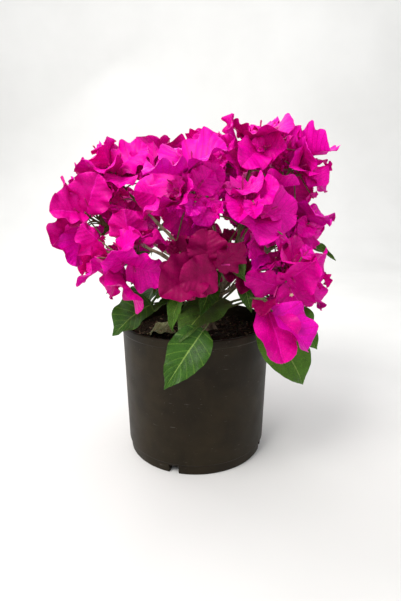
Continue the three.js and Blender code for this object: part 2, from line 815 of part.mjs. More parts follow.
let taken = trunkSolid(GAP);
heads.forEach((row, index) => {
  const line = boughLine(row);
  place(`bough_${row.name}`, largestOf(limbSolidOf(line, boughs).subtract(taken)), "bark");
  place(`blossom_${row.name}`, largestOf(headSolid(index)), "bracts");
  taken = taken.add(limbSolidOf(line, boughs, GAP));
});
shoots.forEach((row, index) => {
  const solid = shootSolid(row, heads.length + index).subtract(taken);
  place(`${row.kind === "bracts" ? "blossom" : "leaves"}_${row.name}`, largestOf(solid), row.kind);
  taken = taken.add(limbSolidOf(stemLine(row), stems, GAP));
});

export default plant;
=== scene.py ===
"""A bougainvillea bush in a black nursery pot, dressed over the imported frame.

The plant grows here by the same rule and from the same named sizes as its solids, in millimetres, and is
then carried on to finer flowers within the same reach, with the small tube flowers that they hold, leaves
along the boughs, and bark. Meshes are made in metres, +Z up, the front towards -Y.
"""

import math
from dataclasses import dataclass

import bpy
import numpy as np
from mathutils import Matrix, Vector, noise


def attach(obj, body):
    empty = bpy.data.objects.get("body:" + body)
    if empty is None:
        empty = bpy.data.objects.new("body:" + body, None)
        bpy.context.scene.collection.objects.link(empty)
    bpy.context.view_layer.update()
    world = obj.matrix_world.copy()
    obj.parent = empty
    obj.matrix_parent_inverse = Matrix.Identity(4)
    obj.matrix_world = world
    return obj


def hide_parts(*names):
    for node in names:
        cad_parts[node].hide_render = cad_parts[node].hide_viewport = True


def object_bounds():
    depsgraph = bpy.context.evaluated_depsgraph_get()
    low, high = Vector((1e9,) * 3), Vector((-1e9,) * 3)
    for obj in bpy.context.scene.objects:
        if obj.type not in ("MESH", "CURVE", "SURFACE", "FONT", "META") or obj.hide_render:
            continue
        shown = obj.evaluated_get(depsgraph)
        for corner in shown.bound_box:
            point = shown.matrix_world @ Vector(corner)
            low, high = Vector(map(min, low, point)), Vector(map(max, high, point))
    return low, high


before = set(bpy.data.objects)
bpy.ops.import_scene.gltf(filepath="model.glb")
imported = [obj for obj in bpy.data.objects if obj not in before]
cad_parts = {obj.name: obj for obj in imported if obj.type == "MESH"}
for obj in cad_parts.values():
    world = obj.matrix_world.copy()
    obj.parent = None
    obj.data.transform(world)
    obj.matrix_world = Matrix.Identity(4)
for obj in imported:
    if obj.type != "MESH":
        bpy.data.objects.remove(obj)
cad_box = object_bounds()

MM = 0.001
GAP = 0.3
TURN = 2 * math.pi
GOLDEN = math.pi * (3 - math.sqrt(5))

# ---- driving dimensions, as in the solids

pot = {
    "height": 152.5,
    "rim_radius": 85,
    "lip": {"width": 3, "height": 8, "overhang": 0.9},
    "wall": 1.8,
    "foot": {"radius": 78.7, "height": 12, "step": 1.9, "recess": 3, "width": 7},
    "floor": 3.2,
    "gate": 12,
    "notch": {"count": 4, "first": 252, "width": 11, "height": 9, "depth": 12},
}
soil = {"level": 140, "dome": 3.5, "lump": 2.2, "seat": 16, "clods": 900}
trunk = {
    "foot": (14, 2, soil["level"] + GAP),
    "top": (27, -6, 192),
    "bulge": (-3, 3),
    "radius": {"flare": 11, "foot": 7.2, "top": 4.2},
    "flare_height": 9,
}
# Boughs leave the trunk from a first share of its height up, over a further share, inset from its middle line;
# they set off with a slope, and end short of their head's middle by a share of its size. Lift and ease shape
# the bend of every limb. A shoot that names no hub has it so far out, and so far above its own height.
boughs = {"radius": (2.5, 1.5), "steps": 4, "lift": 0.42, "ease": 0.3}
boughs |= {"first": 0.5, "further": 0.46, "inset": 1.5, "slope": 0.7, "short": 0.8}
stems = {"radius": (1.5, 1.1), "steps": 4, "slope": 0.45, "hub": (48, 8)}
stalk = {"radius": (1.0, 0.85)}
bract = {"length": 44, "width": 42, "fullness": (0.45, 0.55), "open": 58, "bend": 26, "cup": 0.3}
bract |= {"shingle": 13, "stagger": 1.3, "root": 0.38, "stations": (0.26, 0.66)}
leaf = {"length": 58, "fullness": (0.5, 0.72), "bend": 50, "cup": 0.22, "stations": (0.2, 0.45, 0.74)}
filling = {"cap": 104, "seat": (0.16, 0.5), "tries": 20, "rolls": 6, "size": (1.08, 0.78), "apart": 12}
filling |= {"clear": 2.2, "slack": 1.14, "gap_margin": 1.5}

# A few straight gaps stay open through the crown, all seen from one place: a point that each passes, and its
# radius.
eye = np.array([0, -497, 293.0])
gaps = (
    ((-110, 0, 262), 6.5),
    ((-97, 0, 240), 5.5),
    ((-40, 0, 230), 5.5),
    ((91, 0, 279), 4.5),
    ((31, 0, 259), 6.5),
    ((40, 0, 194), 4.5),
)

# Each flower head: its name, its bough's bearing in degrees from +X towards +Y, how far out from the pot's
# axis and how high its middle lies, the radius of its space, its flowers, its seed, and its usual tone.
HEAD = ("name", "azimuth", "reach", "height", "size", "flowers", "seed", "tone")
heads = [
    dict(zip(HEAD, row))
    for row in (
        ("left_tip", 187, 111, 267, 52, 13, 73, "rose"),
        ("left_shoulder", 168, 86, 303, 54, 13, 63, "bright"),
        ("left_front", 228, 96, 232, 53, 13, 9, "rose"),
        ("front_centre", 265, 68, 287, 54, 13, 100, "bright"),
        # front_low takes the tone of painted shade: its bracts are coloured dark for the shade under the front
        # of the crown.
        ("front_low", 275, 91, 228, 50, 12, 64, "deep"),
        ("crown_left", 60, 20, 321, 52, 13, 53, "bright"),
        ("crown_right", 0, 64, 338, 50, 13, 31, "bright"),
        ("right_shoulder", 10, 106, 318, 50, 14, 71, "bright"),
        ("front_right", 308, 78, 272, 54, 13, 78, "bright"),
        ("right_side", 355, 112, 258, 46, 11, 56, "bright"),
        ("right_front", 326, 108, 213, 51, 12, 36, "rose"),
        ("crown_back", 132, 58, 301, 52, 11, 37, "bright"),
        ("back_left", 146, 108, 256, 58, 14, 38, "bright"),
        ("back_middle", 94, 106, 292, 56, 14, 79, "bright"),
        ("back_right", 48, 114, 270, 58, 14, 100, "bright"),
        ("back_low", 90, 108, 228, 48, 13, 40, "rose"),
    )
]

# The hanging spray and the leafy shoots; "leaves" is the share of the trunk where a shoot's stem leaves it.
# Those with blades give each one's base, tip, width, bend and turn in degrees; the others grow a count of
# leaves by rule, spread over a fan of degrees.
SHOOT = ("name", "kind", "azimuth", "reach", "height", "size", "leaves", "hub", "blades")
FAN = ("name", "kind", "azimuth", "reach", "height", "size", "leaves", "count", "fan", "seed")
hanging = (
    ((66, -88, 192), (81, -110, 140), 46, 24, 14),
    ((70, -93, 187), (108, -99, 149), 42, 24, 30),
    ((66, -86, 194), (60, -112, 186), 22, 40, 0),
)
# The third, small bract of the hanging spray is coloured in the painted-shade tone.
hanging_tones = ("rose", "violet", "deep")
front = (
    ((28, -44, 187), (-16, -101, 158), 48, 34, -10),
    ((8, -92, 168), (-30, -110, 114), 40, 30, -50),
    ((-15, -60, 193), (-24, -74, 159), 21, 40, 10),
)
left = (((-46, -38, 180), (-88, -46, 146), 44, 40, -35), ((-24, -38, 184), (-50, -52, 170), 20, 30, 0))
right = (((72, -50, 168), (115, -66, 96), 50, 40, 60), ((90, -38, 176), (131, -45, 130), 40, 34, 50))
far_right = (((122, 25, 239), (166, 22, 217), 17, 30, -30),)
shoots = [
    dict(zip(SHOOT, row))
    for row in (
        ("hanging", "bracts", 303, 146, 172, 64, 0.42, (68, -84, 194), hanging),
        ("front", "leaves", 272, 86, 146, 60, 0.36, (31, -36, 182), front),
        ("left", "leaves", 205, 76, 166, 52, 0.3, (-20, -26, 176), left),
        ("right", "leaves", 345, 104, 130, 60, 0.3, (68, -40, 182), right),
        ("far_right", "leaves", 13, 154, 220, 45, 0.5, (106, 22, 236), far_right),
    )
]
shoots += [
    dict(zip(FAN, row))
    for row in (
        ("back_left", "leaves", 145, 92, 172, 54, 0.2, 4, 84, 31),
        ("back", "leaves", 92, 92, 172, 50, 0.28, 3, 56, 32),
        ("back_right", "leaves", 35, 96, 172, 54, 0.24, 4, 84, 33),
    )
]
dry_leaf = {"base": (-52, -12), "tip": (-22, -19), "width": 25, "bend": 56, "turn": 8}

# The camera's aim in degrees, and its focal length in pixels of the frame's longer side.
view = {"yaw": 0.62, "pitch": -13.48, "focal": 443, "side": 601}

# ---- what is added here

# Finer flowers fill each head: over what cap and between which shares of its radius they sit, the sizes that
# they are tried at, how far apart their bracts' middles keep, how far they may leave its ball, how near to
# the solids' bracts they stay, and by how much they keep off the straight gaps.
finer = {"flowers": 30, "cap": 160, "seat": (0.0, 0.85), "tries": 8, "rolls": 6, "size": (1.0, 0.4)}
finer |= {"apart": 6, "clear": 0.5, "slack": 1.0, "near": 10, "gap_margin": -3}

# How the sheets of the two kinds are worked: their side veins and how wide these are, the rows between two of
# them and the columns on each side as shares, their thickness, the height of the quilting, the wave of the
# edge and its notches as shares of the width, how drawn out the tip is, the range of how sharply it closes,
# the share that is folded more, and the height of the crumples.
bract_look = {
    "veins": 7,
    "rib": 0.8,
    "between": (0.36, 0.7),
    "columns": (0.035, 0.2, 0.42, 0.66, 0.86, 1),
    "thickness": 0.45,
    "quilt": 1.5,
    "wave": 0.12,
    "notch": 0.02,
    "point": 0.3,
    "round": (0.68, 1.08),
    "folded": 0.14,
    "crumple": 1.8,
}
# The bracts coloured in painted shade are folded and crumpled more.
painted_shade_look = bract_look | {"folded": 0.3, "crumple": 2.4}
leaf_look = {
    "veins": 8,
    "rib": 0.9,
    "between": (0.25, 0.5, 0.75),
    "columns": (0.04, 0.16, 0.32, 0.5, 0.68, 0.85, 1),
    "thickness": 0.6,
    "quilt": 0.9,
    "wave": 0.07,
    "notch": 0.01,
    "point": 0.7,
    "round": (1.15, 1.4),
    "folded": 0.1,
    "crumple": 1.0,
}
dry_look = leaf_look | {"wave": 0.1, "crumple": 4}

# The small true flowers, each on a bract: their length and radius, where along the bract they stand, the
# share of them that are open, and the radius of an open one's star.
tube = {"length": (12, 17), "radius": 0.85, "along": 0.18, "open": 0.05, "star": 2.8}

# Leaves that the boughs carry below their heads, and single ones at named places.
bough_leaves = {"each": 3, "shares": (0.45, 0.95), "length": (24, 44), "drop": 0.35}
bough_leaves |= {"clear": 0.5, "gap_margin": 1.5}
single_leaves = (
    ((48, -50, 208), (56, -66, 177), 17, 30, 30),
    ((78, -42, 190), (99, -47, 183), 14, 20, 30),
    ((-86, -26, 262), (-99, -36, 245), 11, 30, 40),
)
# Small bracts low in the crown's front, between the stems, coloured in painted shade: a dark tone that stands
# in for the shade there; they go with the head front_low.
low_bracts = (
    ((28, -48, 223), (18, -66, 198), 26, 40, 25),
    ((52, -40, 216), (45, -62, 195), 22, 40, -25),
    ((34, -34, 228), (35, -58, 207), 22, 40, 0),
    ((46, -6, 250), (26, -10, 241), 20, 30, 60),
    ((60, 4, 258), (41, -4, 267), 18, 20, 70),
    ((40, -30, 232), (54, -46, 216), 20, 30, 0),
)

# ---- small helpers


def unit(vector):
    return vector / np.linalg.norm(vector)


def cross(one, two):
    """The cross product of arrays of vectors, quicker than numpy's own on small ones."""
    a, b, c = one[..., 0], one[..., 1], one[..., 2]
    p, q, r = two[..., 0], two[..., 1], two[..., 2]
    return np.stack([b * r - c * q, c * p - a * r, a * q - b * p], axis=-1)


def random_stream(seed):
    """A seeded stream of numbers from 0 to 1, the same as the one that shapes the solids."""
    mask = 0xFFFFFFFF
    state = seed & mask

    def draw():
        nonlocal state
        state = (state + 0x6D2B79F5) & mask
        t = ((state ^ (state >> 15)) * (state | 1)) & mask
        t ^= (t + (t ^ (t >> 7)) * (t | 61)) & mask
        return (t ^ (t >> 14)) / 4294967296

    return draw


def square_to(axis):
    """Two unit vectors that are square to an axis and to each other."""
    reference = np.array([0, 0, 1.0]) if abs(axis[2]) < 0.9 else np.array([1.0, 0, 0])
    side = unit(cross(reference, axis))
    return side, cross(axis, side)


def bearing_of(degrees):
    return np.array([math.cos(math.radians(degrees)), math.sin(math.radians(degrees)), 0.0])


def turned_about(vector, axis, angle):
    along = axis * np.dot(axis, vector) * (1 - math.cos(angle))
    return vector * math.cos(angle) + cross(axis, vector) * math.sin(angle) + along


def circle_of(sides):
    """Points round a flat circle of radius 1."""
    turns = np.arange(sides) * TURN / sides
    return np.stack([np.cos(turns), np.sin(turns), np.zeros(sides)], axis=1)


def limb_path(foot, set_off, tip, arrive, steps):
    """A limb's middle line: out of its foot in one direction, and into its tip in another."""
    length = np.linalg.norm(tip - foot)
    one = foot + set_off * length * boughs["lift"]
    two = tip - arrive * length * boughs["ease"]
    t = np.linspace(0, 1, steps + 1)[:, None]
    return foot * (1 - t) ** 3 + 3 * one * t * (1 - t) ** 2 + 3 * two * t**2 * (1 - t) + tip * t**3


# ---- trunk and boughs


def trunk_point(share):
    foot, top = np.array(trunk["foot"], float), np.array(trunk["top"], float)
    swell = math.sin(math.pi * share)
    return foot + (top - foot) * share + np.array([trunk["bulge"][0] * swell, trunk["bulge"][1] * swell, 0])


def trunk_radius(share):
    radius = trunk["radius"]
    height = share * (trunk["top"][2] - trunk["foot"][2])
    flare = (radius["flare"] - radius["foot"]) * math.exp(-height / (trunk["flare_height"] / 2))
    return radius["foot"] + (radius["top"] - radius["foot"]) * share + flare


crown_heart = np.array(trunk["top"], float)
lowest_head = min(row["height"] for row in heads)
highest_head = max(row["height"] for row in heads)


def middle_of(row):
    return bearing_of(row["azimuth"]) * row["reach"] + np.array([0, 0, row["height"]])


def outward_of(row):
    return unit(middle_of(row) - crown_heart)


def bough_line(row, steps=boughs["steps"]):
    centre, outward = middle_of(row), outward_of(row)
    bearing = bearing_of(row["azimuth"])
    share = boughs["first"] + boughs["further"] * (row["height"] - lowest_head) / (highest_head - lowest_head)
    foot = trunk_point(share) + bearing * boughs["inset"]
    rise = unit(bearing * boughs["slope"] + np.array([0, 0, 1]))
    return limb_path(foot, rise, centre - outward * row["size"] * boughs["short"], outward, steps)


def hub_of(row):
    if "hub" in row:
        return np.array(row["hub"], float)
    out, above = stems["hub"]
    return bearing_of(row["azimuth"]) * out + np.array([0, 0, row["height"] + above])


def stem_line(row, steps=stems["steps"]):
    hub, foot = hub_of(row), trunk_point(row["leaves"])
    away = unit((hub - foot) * (1, 1, 0))
    return limb_path(foot, unit(away + np.array([0, 0, stems["slope"]])), hub, away, steps)


# ---- blades: bracts and leaves


def outline(t, swell, close):
    """The share of a blade's half width at a share of its length, 1 where it is widest."""
    widest = swell / (swell + close)
    return (t / widest) ** swell * ((1 - t) / (1 - widest)) ** close


@dataclass
class Blade:
    """A blade grows from base along its direction, its upper face towards up, and bends away from up."""

    base: np.ndarray
    direction: np.ndarray
    up: np.ndarray
    length: float
    width: float
    bend: float
    cup: float
    fullness: tuple

    def midrib(self, t):
        """Points of the midrib, and the upper face's normals there."""
        turned = (self.bend * t)[..., None]
        bend = self.bend if abs(self.bend) > 1e-6 else 1e-6
        ahead, back = self.direction * self.length / bend, self.up * self.length / bend
        points = self.base + ahead * np.sin(turned) - back * (1 - np.cos(turned))
        return points, self.up * np.cos(turned) + self.direction * np.sin(turned)

    def points(self, t, across):
        """Points at shares of the length and of the half width."""
        t, across = np.broadcast_arrays(np.asarray(t, float), np.asarray(across, float))
        middle, normal = self.midrib(t)
        reach = (0.5 * self.width * outline(t, *self.fullness) * across)[..., None]
        return middle + cross(self.direction, self.up) * reach + normal * self.cup * abs(reach)


def blade_between(row, kind):
    """A blade from a base to a tip, turned about the line between them; with no turn its face looks up."""
    base, tip, width, bend, turn = row
    start, end = np.array(base, float), np.array(tip, float)
    distance = np.linalg.norm(end - start)
    chord = (end - start) / distance
    face = unit(np.array([0, 0, 1]) - chord * chord[2])
    face = turned_about(face, chord, math.radians(turn))
    half = math.radians(bend) / 2
    return Blade(
        base=start,
        direction=chord * math.cos(half) + face * math.sin(half),
        up=face * math.cos(half) - chord * math.sin(half),
        length=distance * half / math.sin(half),
        width=width,
        bend=2 * half,
        cup=kind["cup"],
        fullness=kind["fullness"],
    )


# ---- spaces

masses = heads + shoots
middles = np.array([middle_of(row) for row in masses])
sizes = np.array([row["size"] for row in masses], float)

limb_lines = [([trunk_point(share) for share in (0, 0.25, 0.5, 0.75, 1)], trunk["radius"]["foot"])]
limb_lines += [(bough_line(row), boughs["radius"][0]) for row in heads]
limb_lines += [(stem_line(row), stems["radius"][0]) for row in shoots]
limb_starts = np.concatenate([line[:-1] for line, _ in limb_lines])
limb_spans = np.concatenate([np.diff(line, axis=0) for line, _ in limb_lines])
limb_radii = np.concatenate([[radius] * (len(line) - 1) for line, radius in limb_lines])

sight_rays = np.array([unit(np.array(point, float) - eye) for point, _ in gaps])
sight_radii = np.array([radius for _, radius in gaps])

# Where on a blade its fit is tested: five places across, at five shares of its length, and the tip.
SAMPLE_T = np.append(np.repeat([0.12, 0.28, 0.46, 0.64, 0.82], 5), 1)
SAMPLE_ACROSS = np.append(np.tile([-1, -0.5, 0, 0.5, 1], 5), 0)


def inside_space(points, index):
    """Whether points keep to a head's ball, on its own side of the planes that part the balls."""
    squared = ((points[:, None] - middles) ** 2).sum(-1)
    own = squared[:, index]
    if (own > (sizes[index] * filling["slack"]) ** 2).any():
        return False
    lead = squared - sizes**2 - own[:, None] + sizes[index] ** 2
    margin = 2 * GAP * np.linalg.norm(middles - middles[index], axis=1)
    lead[:, index] = np.inf
    return bool((lead > margin).all())


def inside_ball(points, index):
    squared = ((points - middles[index]) ** 2).sum(-1)
    return bool((squared <= (sizes[index] * finer["slack"]) ** 2).all())


def within_reach(points):
    """Whether points keep inside the box of the solids."""
    lowest, highest = np.array(cad_box) / MM
    return bool(((points > lowest) & (points < highest)).all())


def keeps_near(points, others, distance):
    """Whether each of the points has one of the others within a distance."""
    squared = ((points[:, None] - others) ** 2).sum(-1)
    return bool((squared.min(axis=1) < distance**2).all())


def clear_of_limbs(points, clear):
    lead = points[:, None] - limb_starts
    share = np.clip((lead * limb_spans).sum(-1) / (limb_spans**2).sum(-1), 0, 1)
    squared = ((lead - share[..., None] * limb_spans) ** 2).sum(-1)
    return bool((squared > (limb_radii + clear) ** 2).all())


def clear_of_pot(points):
    """Over the rim a blade may hang outside the pot, and nothing reaches down inside it."""
    high = points[:, 2] > pot["height"] + 2
    outside = (points[:, 2] > 60) & (np.hypot(points[:, 0], points[:, 1]) > pot["rim_radius"] + 2)
    return bool((high | outside).all())


def clear_of_gaps(points, margin):
    """Whether points keep off the straight gaps that stay open, by a margin."""
    lead = points[:, None] - eye
    off = lead - (lead * sight_rays).sum(-1)[..., None] * sight_rays
    return bool(((off**2).sum(-1) > (sight_radii + margin) ** 2).all())


def clear_of_all(points, rule):
    """Whether points keep off the straight gaps, the pot and the limbs, by what a rule says."""
    is_clear = clear_of_gaps(points, rule["gap_margin"]) and clear_of_pot(points)
    return is_clear and clear_of_limbs(points, rule["clear"])


def sheet_of(blade, stations):
    """The edges of the blade's middle surface and its midrib, and that surface as triangles."""
    lines = blade.points([[0], *([t] for t in stations), [1]], [[-1, 0, 1]]).swapaxes(0, 1)
    edges = np.stack([lines[:, :-1], lines[:, 1:]], axis=2).reshape(-1, 2, 3)
    triangles = []
    for one, two in zip(lines, lines[1:]):
        for i in range(len(one) - 1):
            if i > 0:
                triangles.append((one[i], two[i], one[i + 1]))
            if i + 2 < len(one):
                triangles.append((two[i], two[i + 1], one[i + 1]))
    return edges, np.array(triangles)


def meets(edges, triangles):
    """Whether any edge passes through any triangle."""
    start = edges[:, None, 0]
    ray = edges[:, None, 1] - start
    corner = triangles[None, :, 0]
    one, two = triangles[None, :, 1] - corner, triangles[None, :, 2] - corner
    lead = start - corner
    square, turned = cross(ray, two), cross(lead, one)
    scale = (one * square).sum(-1)
    scale = np.where(abs(scale) < 1e-9, np.nan, scale)
    u, v = (lead * square).sum(-1) / scale, (ray * turned).sum(-1) / scale
    share = (two * turned).sum(-1) / scale
    return bool(((u >= 0) & (u <= 1) & (v >= 0) & (u + v <= 1) & (share >= 0) & (share <= 1)).any())


# ---- flowers


@dataclass
class Flower:
    head: int
    fork: np.ndarray
    seat: np.ndarray
    axis: np.ndarray
    bracts: list

    @property
    def run(self):
        return np.array([[self.fork, self.seat + self.axis * bract["stagger"]]])


class Grown:
    """The bracts' sheets that stand so far, as arrays, so that a new one is quickly set against them."""

    def __init__(self):
        self.middles, self.lengths = np.empty((0, 3)), np.empty(0)
        self.edges, self.triangles = np.empty((0, 9, 2, 3)), np.empty((0, 8, 3, 3))

    def add(self, blades):
        sheets = [sheet_of(blade, bract["stations"]) for blade in blades]
        self.middles = np.append(self.middles, [blade.points(0.5, 0) for blade in blades], axis=0)
        self.lengths = np.append(self.lengths, [blade.length for blade in blades])
        self.edges = np.append(self.edges, [edges for edges, _ in sheets], axis=0)
        self.triangles = np.append(self.triangles, [triangles for _, triangles in sheets], axis=0)

    def has_room(self, blade, stations, apart):
        """Whether a blade's middle keeps apart from the others' and its sheet passes through none of them."""
        distance = np.linalg.norm(self.middles - blade.points(0.5, 0), axis=1)
        if (distance < apart).any():
            return False
        near = distance < 0.6 * (self.lengths + blade.length)
        if not near.any():
            return True
        edges, triangles = sheet_of(blade, stations)
        if meets(edges, self.triangles[near].reshape(-1, 3, 3)):
            return False
        return not meets(self.edges[near].reshape(-1, 2, 3), triangles)


def roll_bract(seat, axis, turn, size, draw):
    """One of the three bracts of a flower, round an axis from the end of its stalk."""
    side, up = square_to(axis)
    around = turn + (draw() - 0.5) * 0.5
    radial = side * math.cos(around) + up * math.sin(around)
    opening = math.radians(bract["open"] + (draw() - 0.5) * 50)
    direction = axis * math.cos(opening) + radial * math.sin(opening)
    face = axis * math.sin(opening) - radial * math.cos(opening)
    return Blade(
        base=seat + radial * bract["root"],
        direction=direction,
        up=turned_about(face, direction, math.radians(bract["shingle"])),
        length=bract["length"] * size * (0.92 + 0.16 * draw()),
        width=bract["width"] * size * (0.92 + 0.16 * draw()),
        bend=math.radians(bract["bend"] + (draw() - 0.5) * 60),
        cup=bract["cup"] * (0.4 + 1.2 * draw()),
        fullness=bract["fullness"],
    )


def grow_flower(seat, axis, grown, runs, fits, draw, rule):
    """A flower's bracts: each is rolled again, a little smaller, until it fits."""
    twist = draw() * TURN
    large, small = rule["size"]
    blades = []
    for k in range(3):
        for size in np.linspace(large, small, rule["rolls"]):
            start = seat + axis * bract["stagger"] * (k - 1)
            blade = roll_bract(start, axis, twist + TURN * k / 3, size, draw)
            if not fits(blade.points([1], [0])) or not fits(blade.points(SAMPLE_T, SAMPLE_ACROSS)):
                continue
            if not grown.has_room(blade, bract["stations"], rule["apart"]):
                continue
            if len(runs) and meets(runs, sheet_of(blade, bract["stations"])[1]):
                continue
            blades.append(blade)
            break
    return blades


def head_stem(index):
    """A head's stem runs on from its bough's tip to near the head's middle."""
    row, outward = heads[index], outward_of(heads[index])
    return bough_line(row)[-1] + outward * (GAP + 0.1), middles[index] + outward * row["size"] * 0.1


def axis_over_cap(index, k, count, cap, phase, sway, draw):
    """The direction of one of a head's flowers, spread evenly over a cap that faces away from the trunk."""
    outward = outward_of(heads[index])
    side, up = square_to(outward)
    polar = math.acos(1 - (k + draw()) / count * (1 - math.cos(math.radians(cap))))
    around = phase + GOLDEN * k + (draw() - 0.5) * sway
    return outward * math.cos(polar) + (side * math.cos(around) + up * math.sin(around)) * math.sin(polar)


def grow_head(index):
    """The solids' flowers of a head."""
    row = heads[index]
    stem_foot, stem_tip = head_stem(index)
    draw = random_stream(row["seed"])
    phase = draw() * TURN
    flowers, grown = [], Grown()

    def fits(points):
        return inside_space(points, index) and clear_of_all(points, filling)

    for k in range(row["flowers"]):
        fork = stem_tip + (stem_foot - stem_tip) * 0.75 * k / row["flowers"]
        for attempt in range(filling["tries"]):
            axis = axis_over_cap(index, k, row["flowers"], filling["cap"], phase, 0.2 * attempt, draw)
            near, far = filling["seat"]
            seat = middles[index] + axis * row["size"] * (near + (far - near) * draw())
            flower = Flower(index, fork, seat, axis, [])
            if meets(flower.run, grown.triangles.reshape(-1, 3, 3)):
                continue
            runs = np.array([[stem_foot, stem_tip]] + [one.run[0] for one in flowers])
            flower.bracts = grow_flower(seat, axis, grown, runs, fits, draw, filling)
            if len(flower.bracts) > 1:
                flowers.append(flower)
                grown.add(flower.bracts)
                break
    return flowers


def fill_head(index, grown, standing):
    """Finer flowers of a head, between all that have grown and near to the points where the solids stand."""
    row = heads[index]
    stem_foot, stem_tip = head_stem(index)
    draw = random_stream(row["seed"] + 1000)
    phase = draw() * TURN
    around = standing[((standing - middles[index]) ** 2).sum(-1) < (1.4 * row["size"]) ** 2]
    flowers = []

    def fits(points):
        inside = inside_ball(points, index) and within_reach(points)
        return inside and clear_of_all(points, finer) and keeps_near(points, around, finer["near"])

    for k in range(finer["flowers"]):
        for attempt in range(finer["tries"]):
            axis = axis_over_cap(index, k, finer["flowers"], finer["cap"], phase, 0.4 * attempt, draw)
            near, far = finer["seat"]
            seat = middles[index] + axis * row["size"] * (near + (far - near) * draw() ** 0.7)
            blades = grow_flower(seat, axis, grown, (), fits, draw, finer)
            fewest = 2 if attempt < finer["tries"] - 3 else 1
            if len(blades) >= fewest:
                fork = stem_foot + (stem_tip - stem_foot) * (0.2 + 0.8 * draw())
                flowers.append(Flower(index, fork, seat, axis, blades))
                grown.add(blades)
                break
    return flowers


def grow_leaves(row):
    """Leaves that fan out and droop all round a shoot's bearing, each from a base round its hub."""
    draw = random_stream(row["seed"])
    hub = hub_of(row)
    grown = []
    for k in range(row["count"]):
        spread = ((k + 0.5) / row["count"] - 0.5) * row["fan"] + (draw() - 0.5) * 12
        heading = bearing_of(row["azimuth"] + spread)
        high = k % 2
        base = hub + heading * (10 + 10 * draw())
        base[2] = hub[2] + 4 + 12 * high
        length = leaf["length"] * (0.8 + 0.35 * draw())
        tip = base + heading * length * (0.88 if high else 0.66)
        tip[2] -= length * (0.3 if high else 0.62)
        width = length * (0.56 + 0.12 * draw())
        bend = leaf["bend"] * (0.7 + 0.6 * draw())
        turn = (draw() - 0.5) * 40
        grown.append(blade_between((base, tip, width, bend, turn), leaf))
    return grown


def shoot_blades(row):
    if "blades" not in row:
        return grow_leaves(row)
    return [blade_between(blade, bract if row["kind"] == "bracts" else leaf) for blade in row["blades"]]


# ---- meshes


class Heap:
    """Gathers the vertices, faces and face materials of one joined piece."""

    def __init__(self):
        self.vertices, self.faces, self.slots, self.count = [], [], [], 0

    def add(self, vertices, faces, slots=0):
        """Adds a mesh; its material slots are one for all its faces, or one for each."""
        self.vertices.append(np.asarray(vertices, float))
        self.faces += [tuple(corner + self.count for corner in face) for face in faces]
        self.slots += [slots] * len(faces) if isinstance(slots, int) else list(slots)
        self.count += len(vertices)

    def piece(self, name, materials, slot, *nodes, sharp=50):
        mesh = bpy.data.meshes.new(name)
        mesh.from_pydata((np.concatenate(self.vertices) * MM).tolist(), [], self.faces)
        for material in materials:
            mesh.materials.append(material)
        mesh.polygons.foreach_set("material_index", self.slots)
        mesh.polygons.foreach_set("use_smooth", [True] * len(mesh.polygons))
        mesh.set_sharp_from_angle(angle=math.radians(sharp))
        mesh.validate()
        obj = bpy.data.objects.new(name, mesh)
        bpy.context.collection.objects.link(obj)
        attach(obj, "root")
        if nodes:
            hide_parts(*nodes)
        return obj


def closed_rings(rings, foot, top):
    """A closed mesh of rings of points that follow each other, from a foot point to a top point."""
    count, sides = len(rings), len(rings[0])
    faces = []
    for i in range(count - 1):
        for k in range(sides):
            a, b = i * sides + k, i * sides + (k + 1) % sides
            faces.append((a, b, b + sides, a + sides))
    last, under, over = (count - 1) * sides, count * sides, count * sides + 1
    for k in range(sides):
        following = (k + 1) % sides
        faces += [(under, following, k), (over, last + k, last + following)]
    return np.concatenate([*rings, [foot], [top]]), faces


def tube_mesh(points, radii, sides, relief=None):
    """A closed round tube along points; relief(ring, side) adds to the radius."""
    points = np.asarray(points, float)
    tangents = np.gradient(points, axis=0)
    side = square_to(unit(tangents[0]))[0]
    turns = np.arange(sides) * TURN / sides
    rings = []
    for i, (point, tangent) in enumerate(zip(points, tangents)):
        axis = unit(tangent)
        side = unit(side - axis * np.dot(side, axis))
        up = cross(axis, side)
        reach = np.full(sides, float(radii[i]))
        if relief is not None:
            reach += np.array([relief(i, k) for k in range(sides)])
        rings.append(point + reach[:, None] * (np.cos(turns)[:, None] * side + np.sin(turns)[:, None] * up))
    return closed_rings(rings, points[0], points[-1])


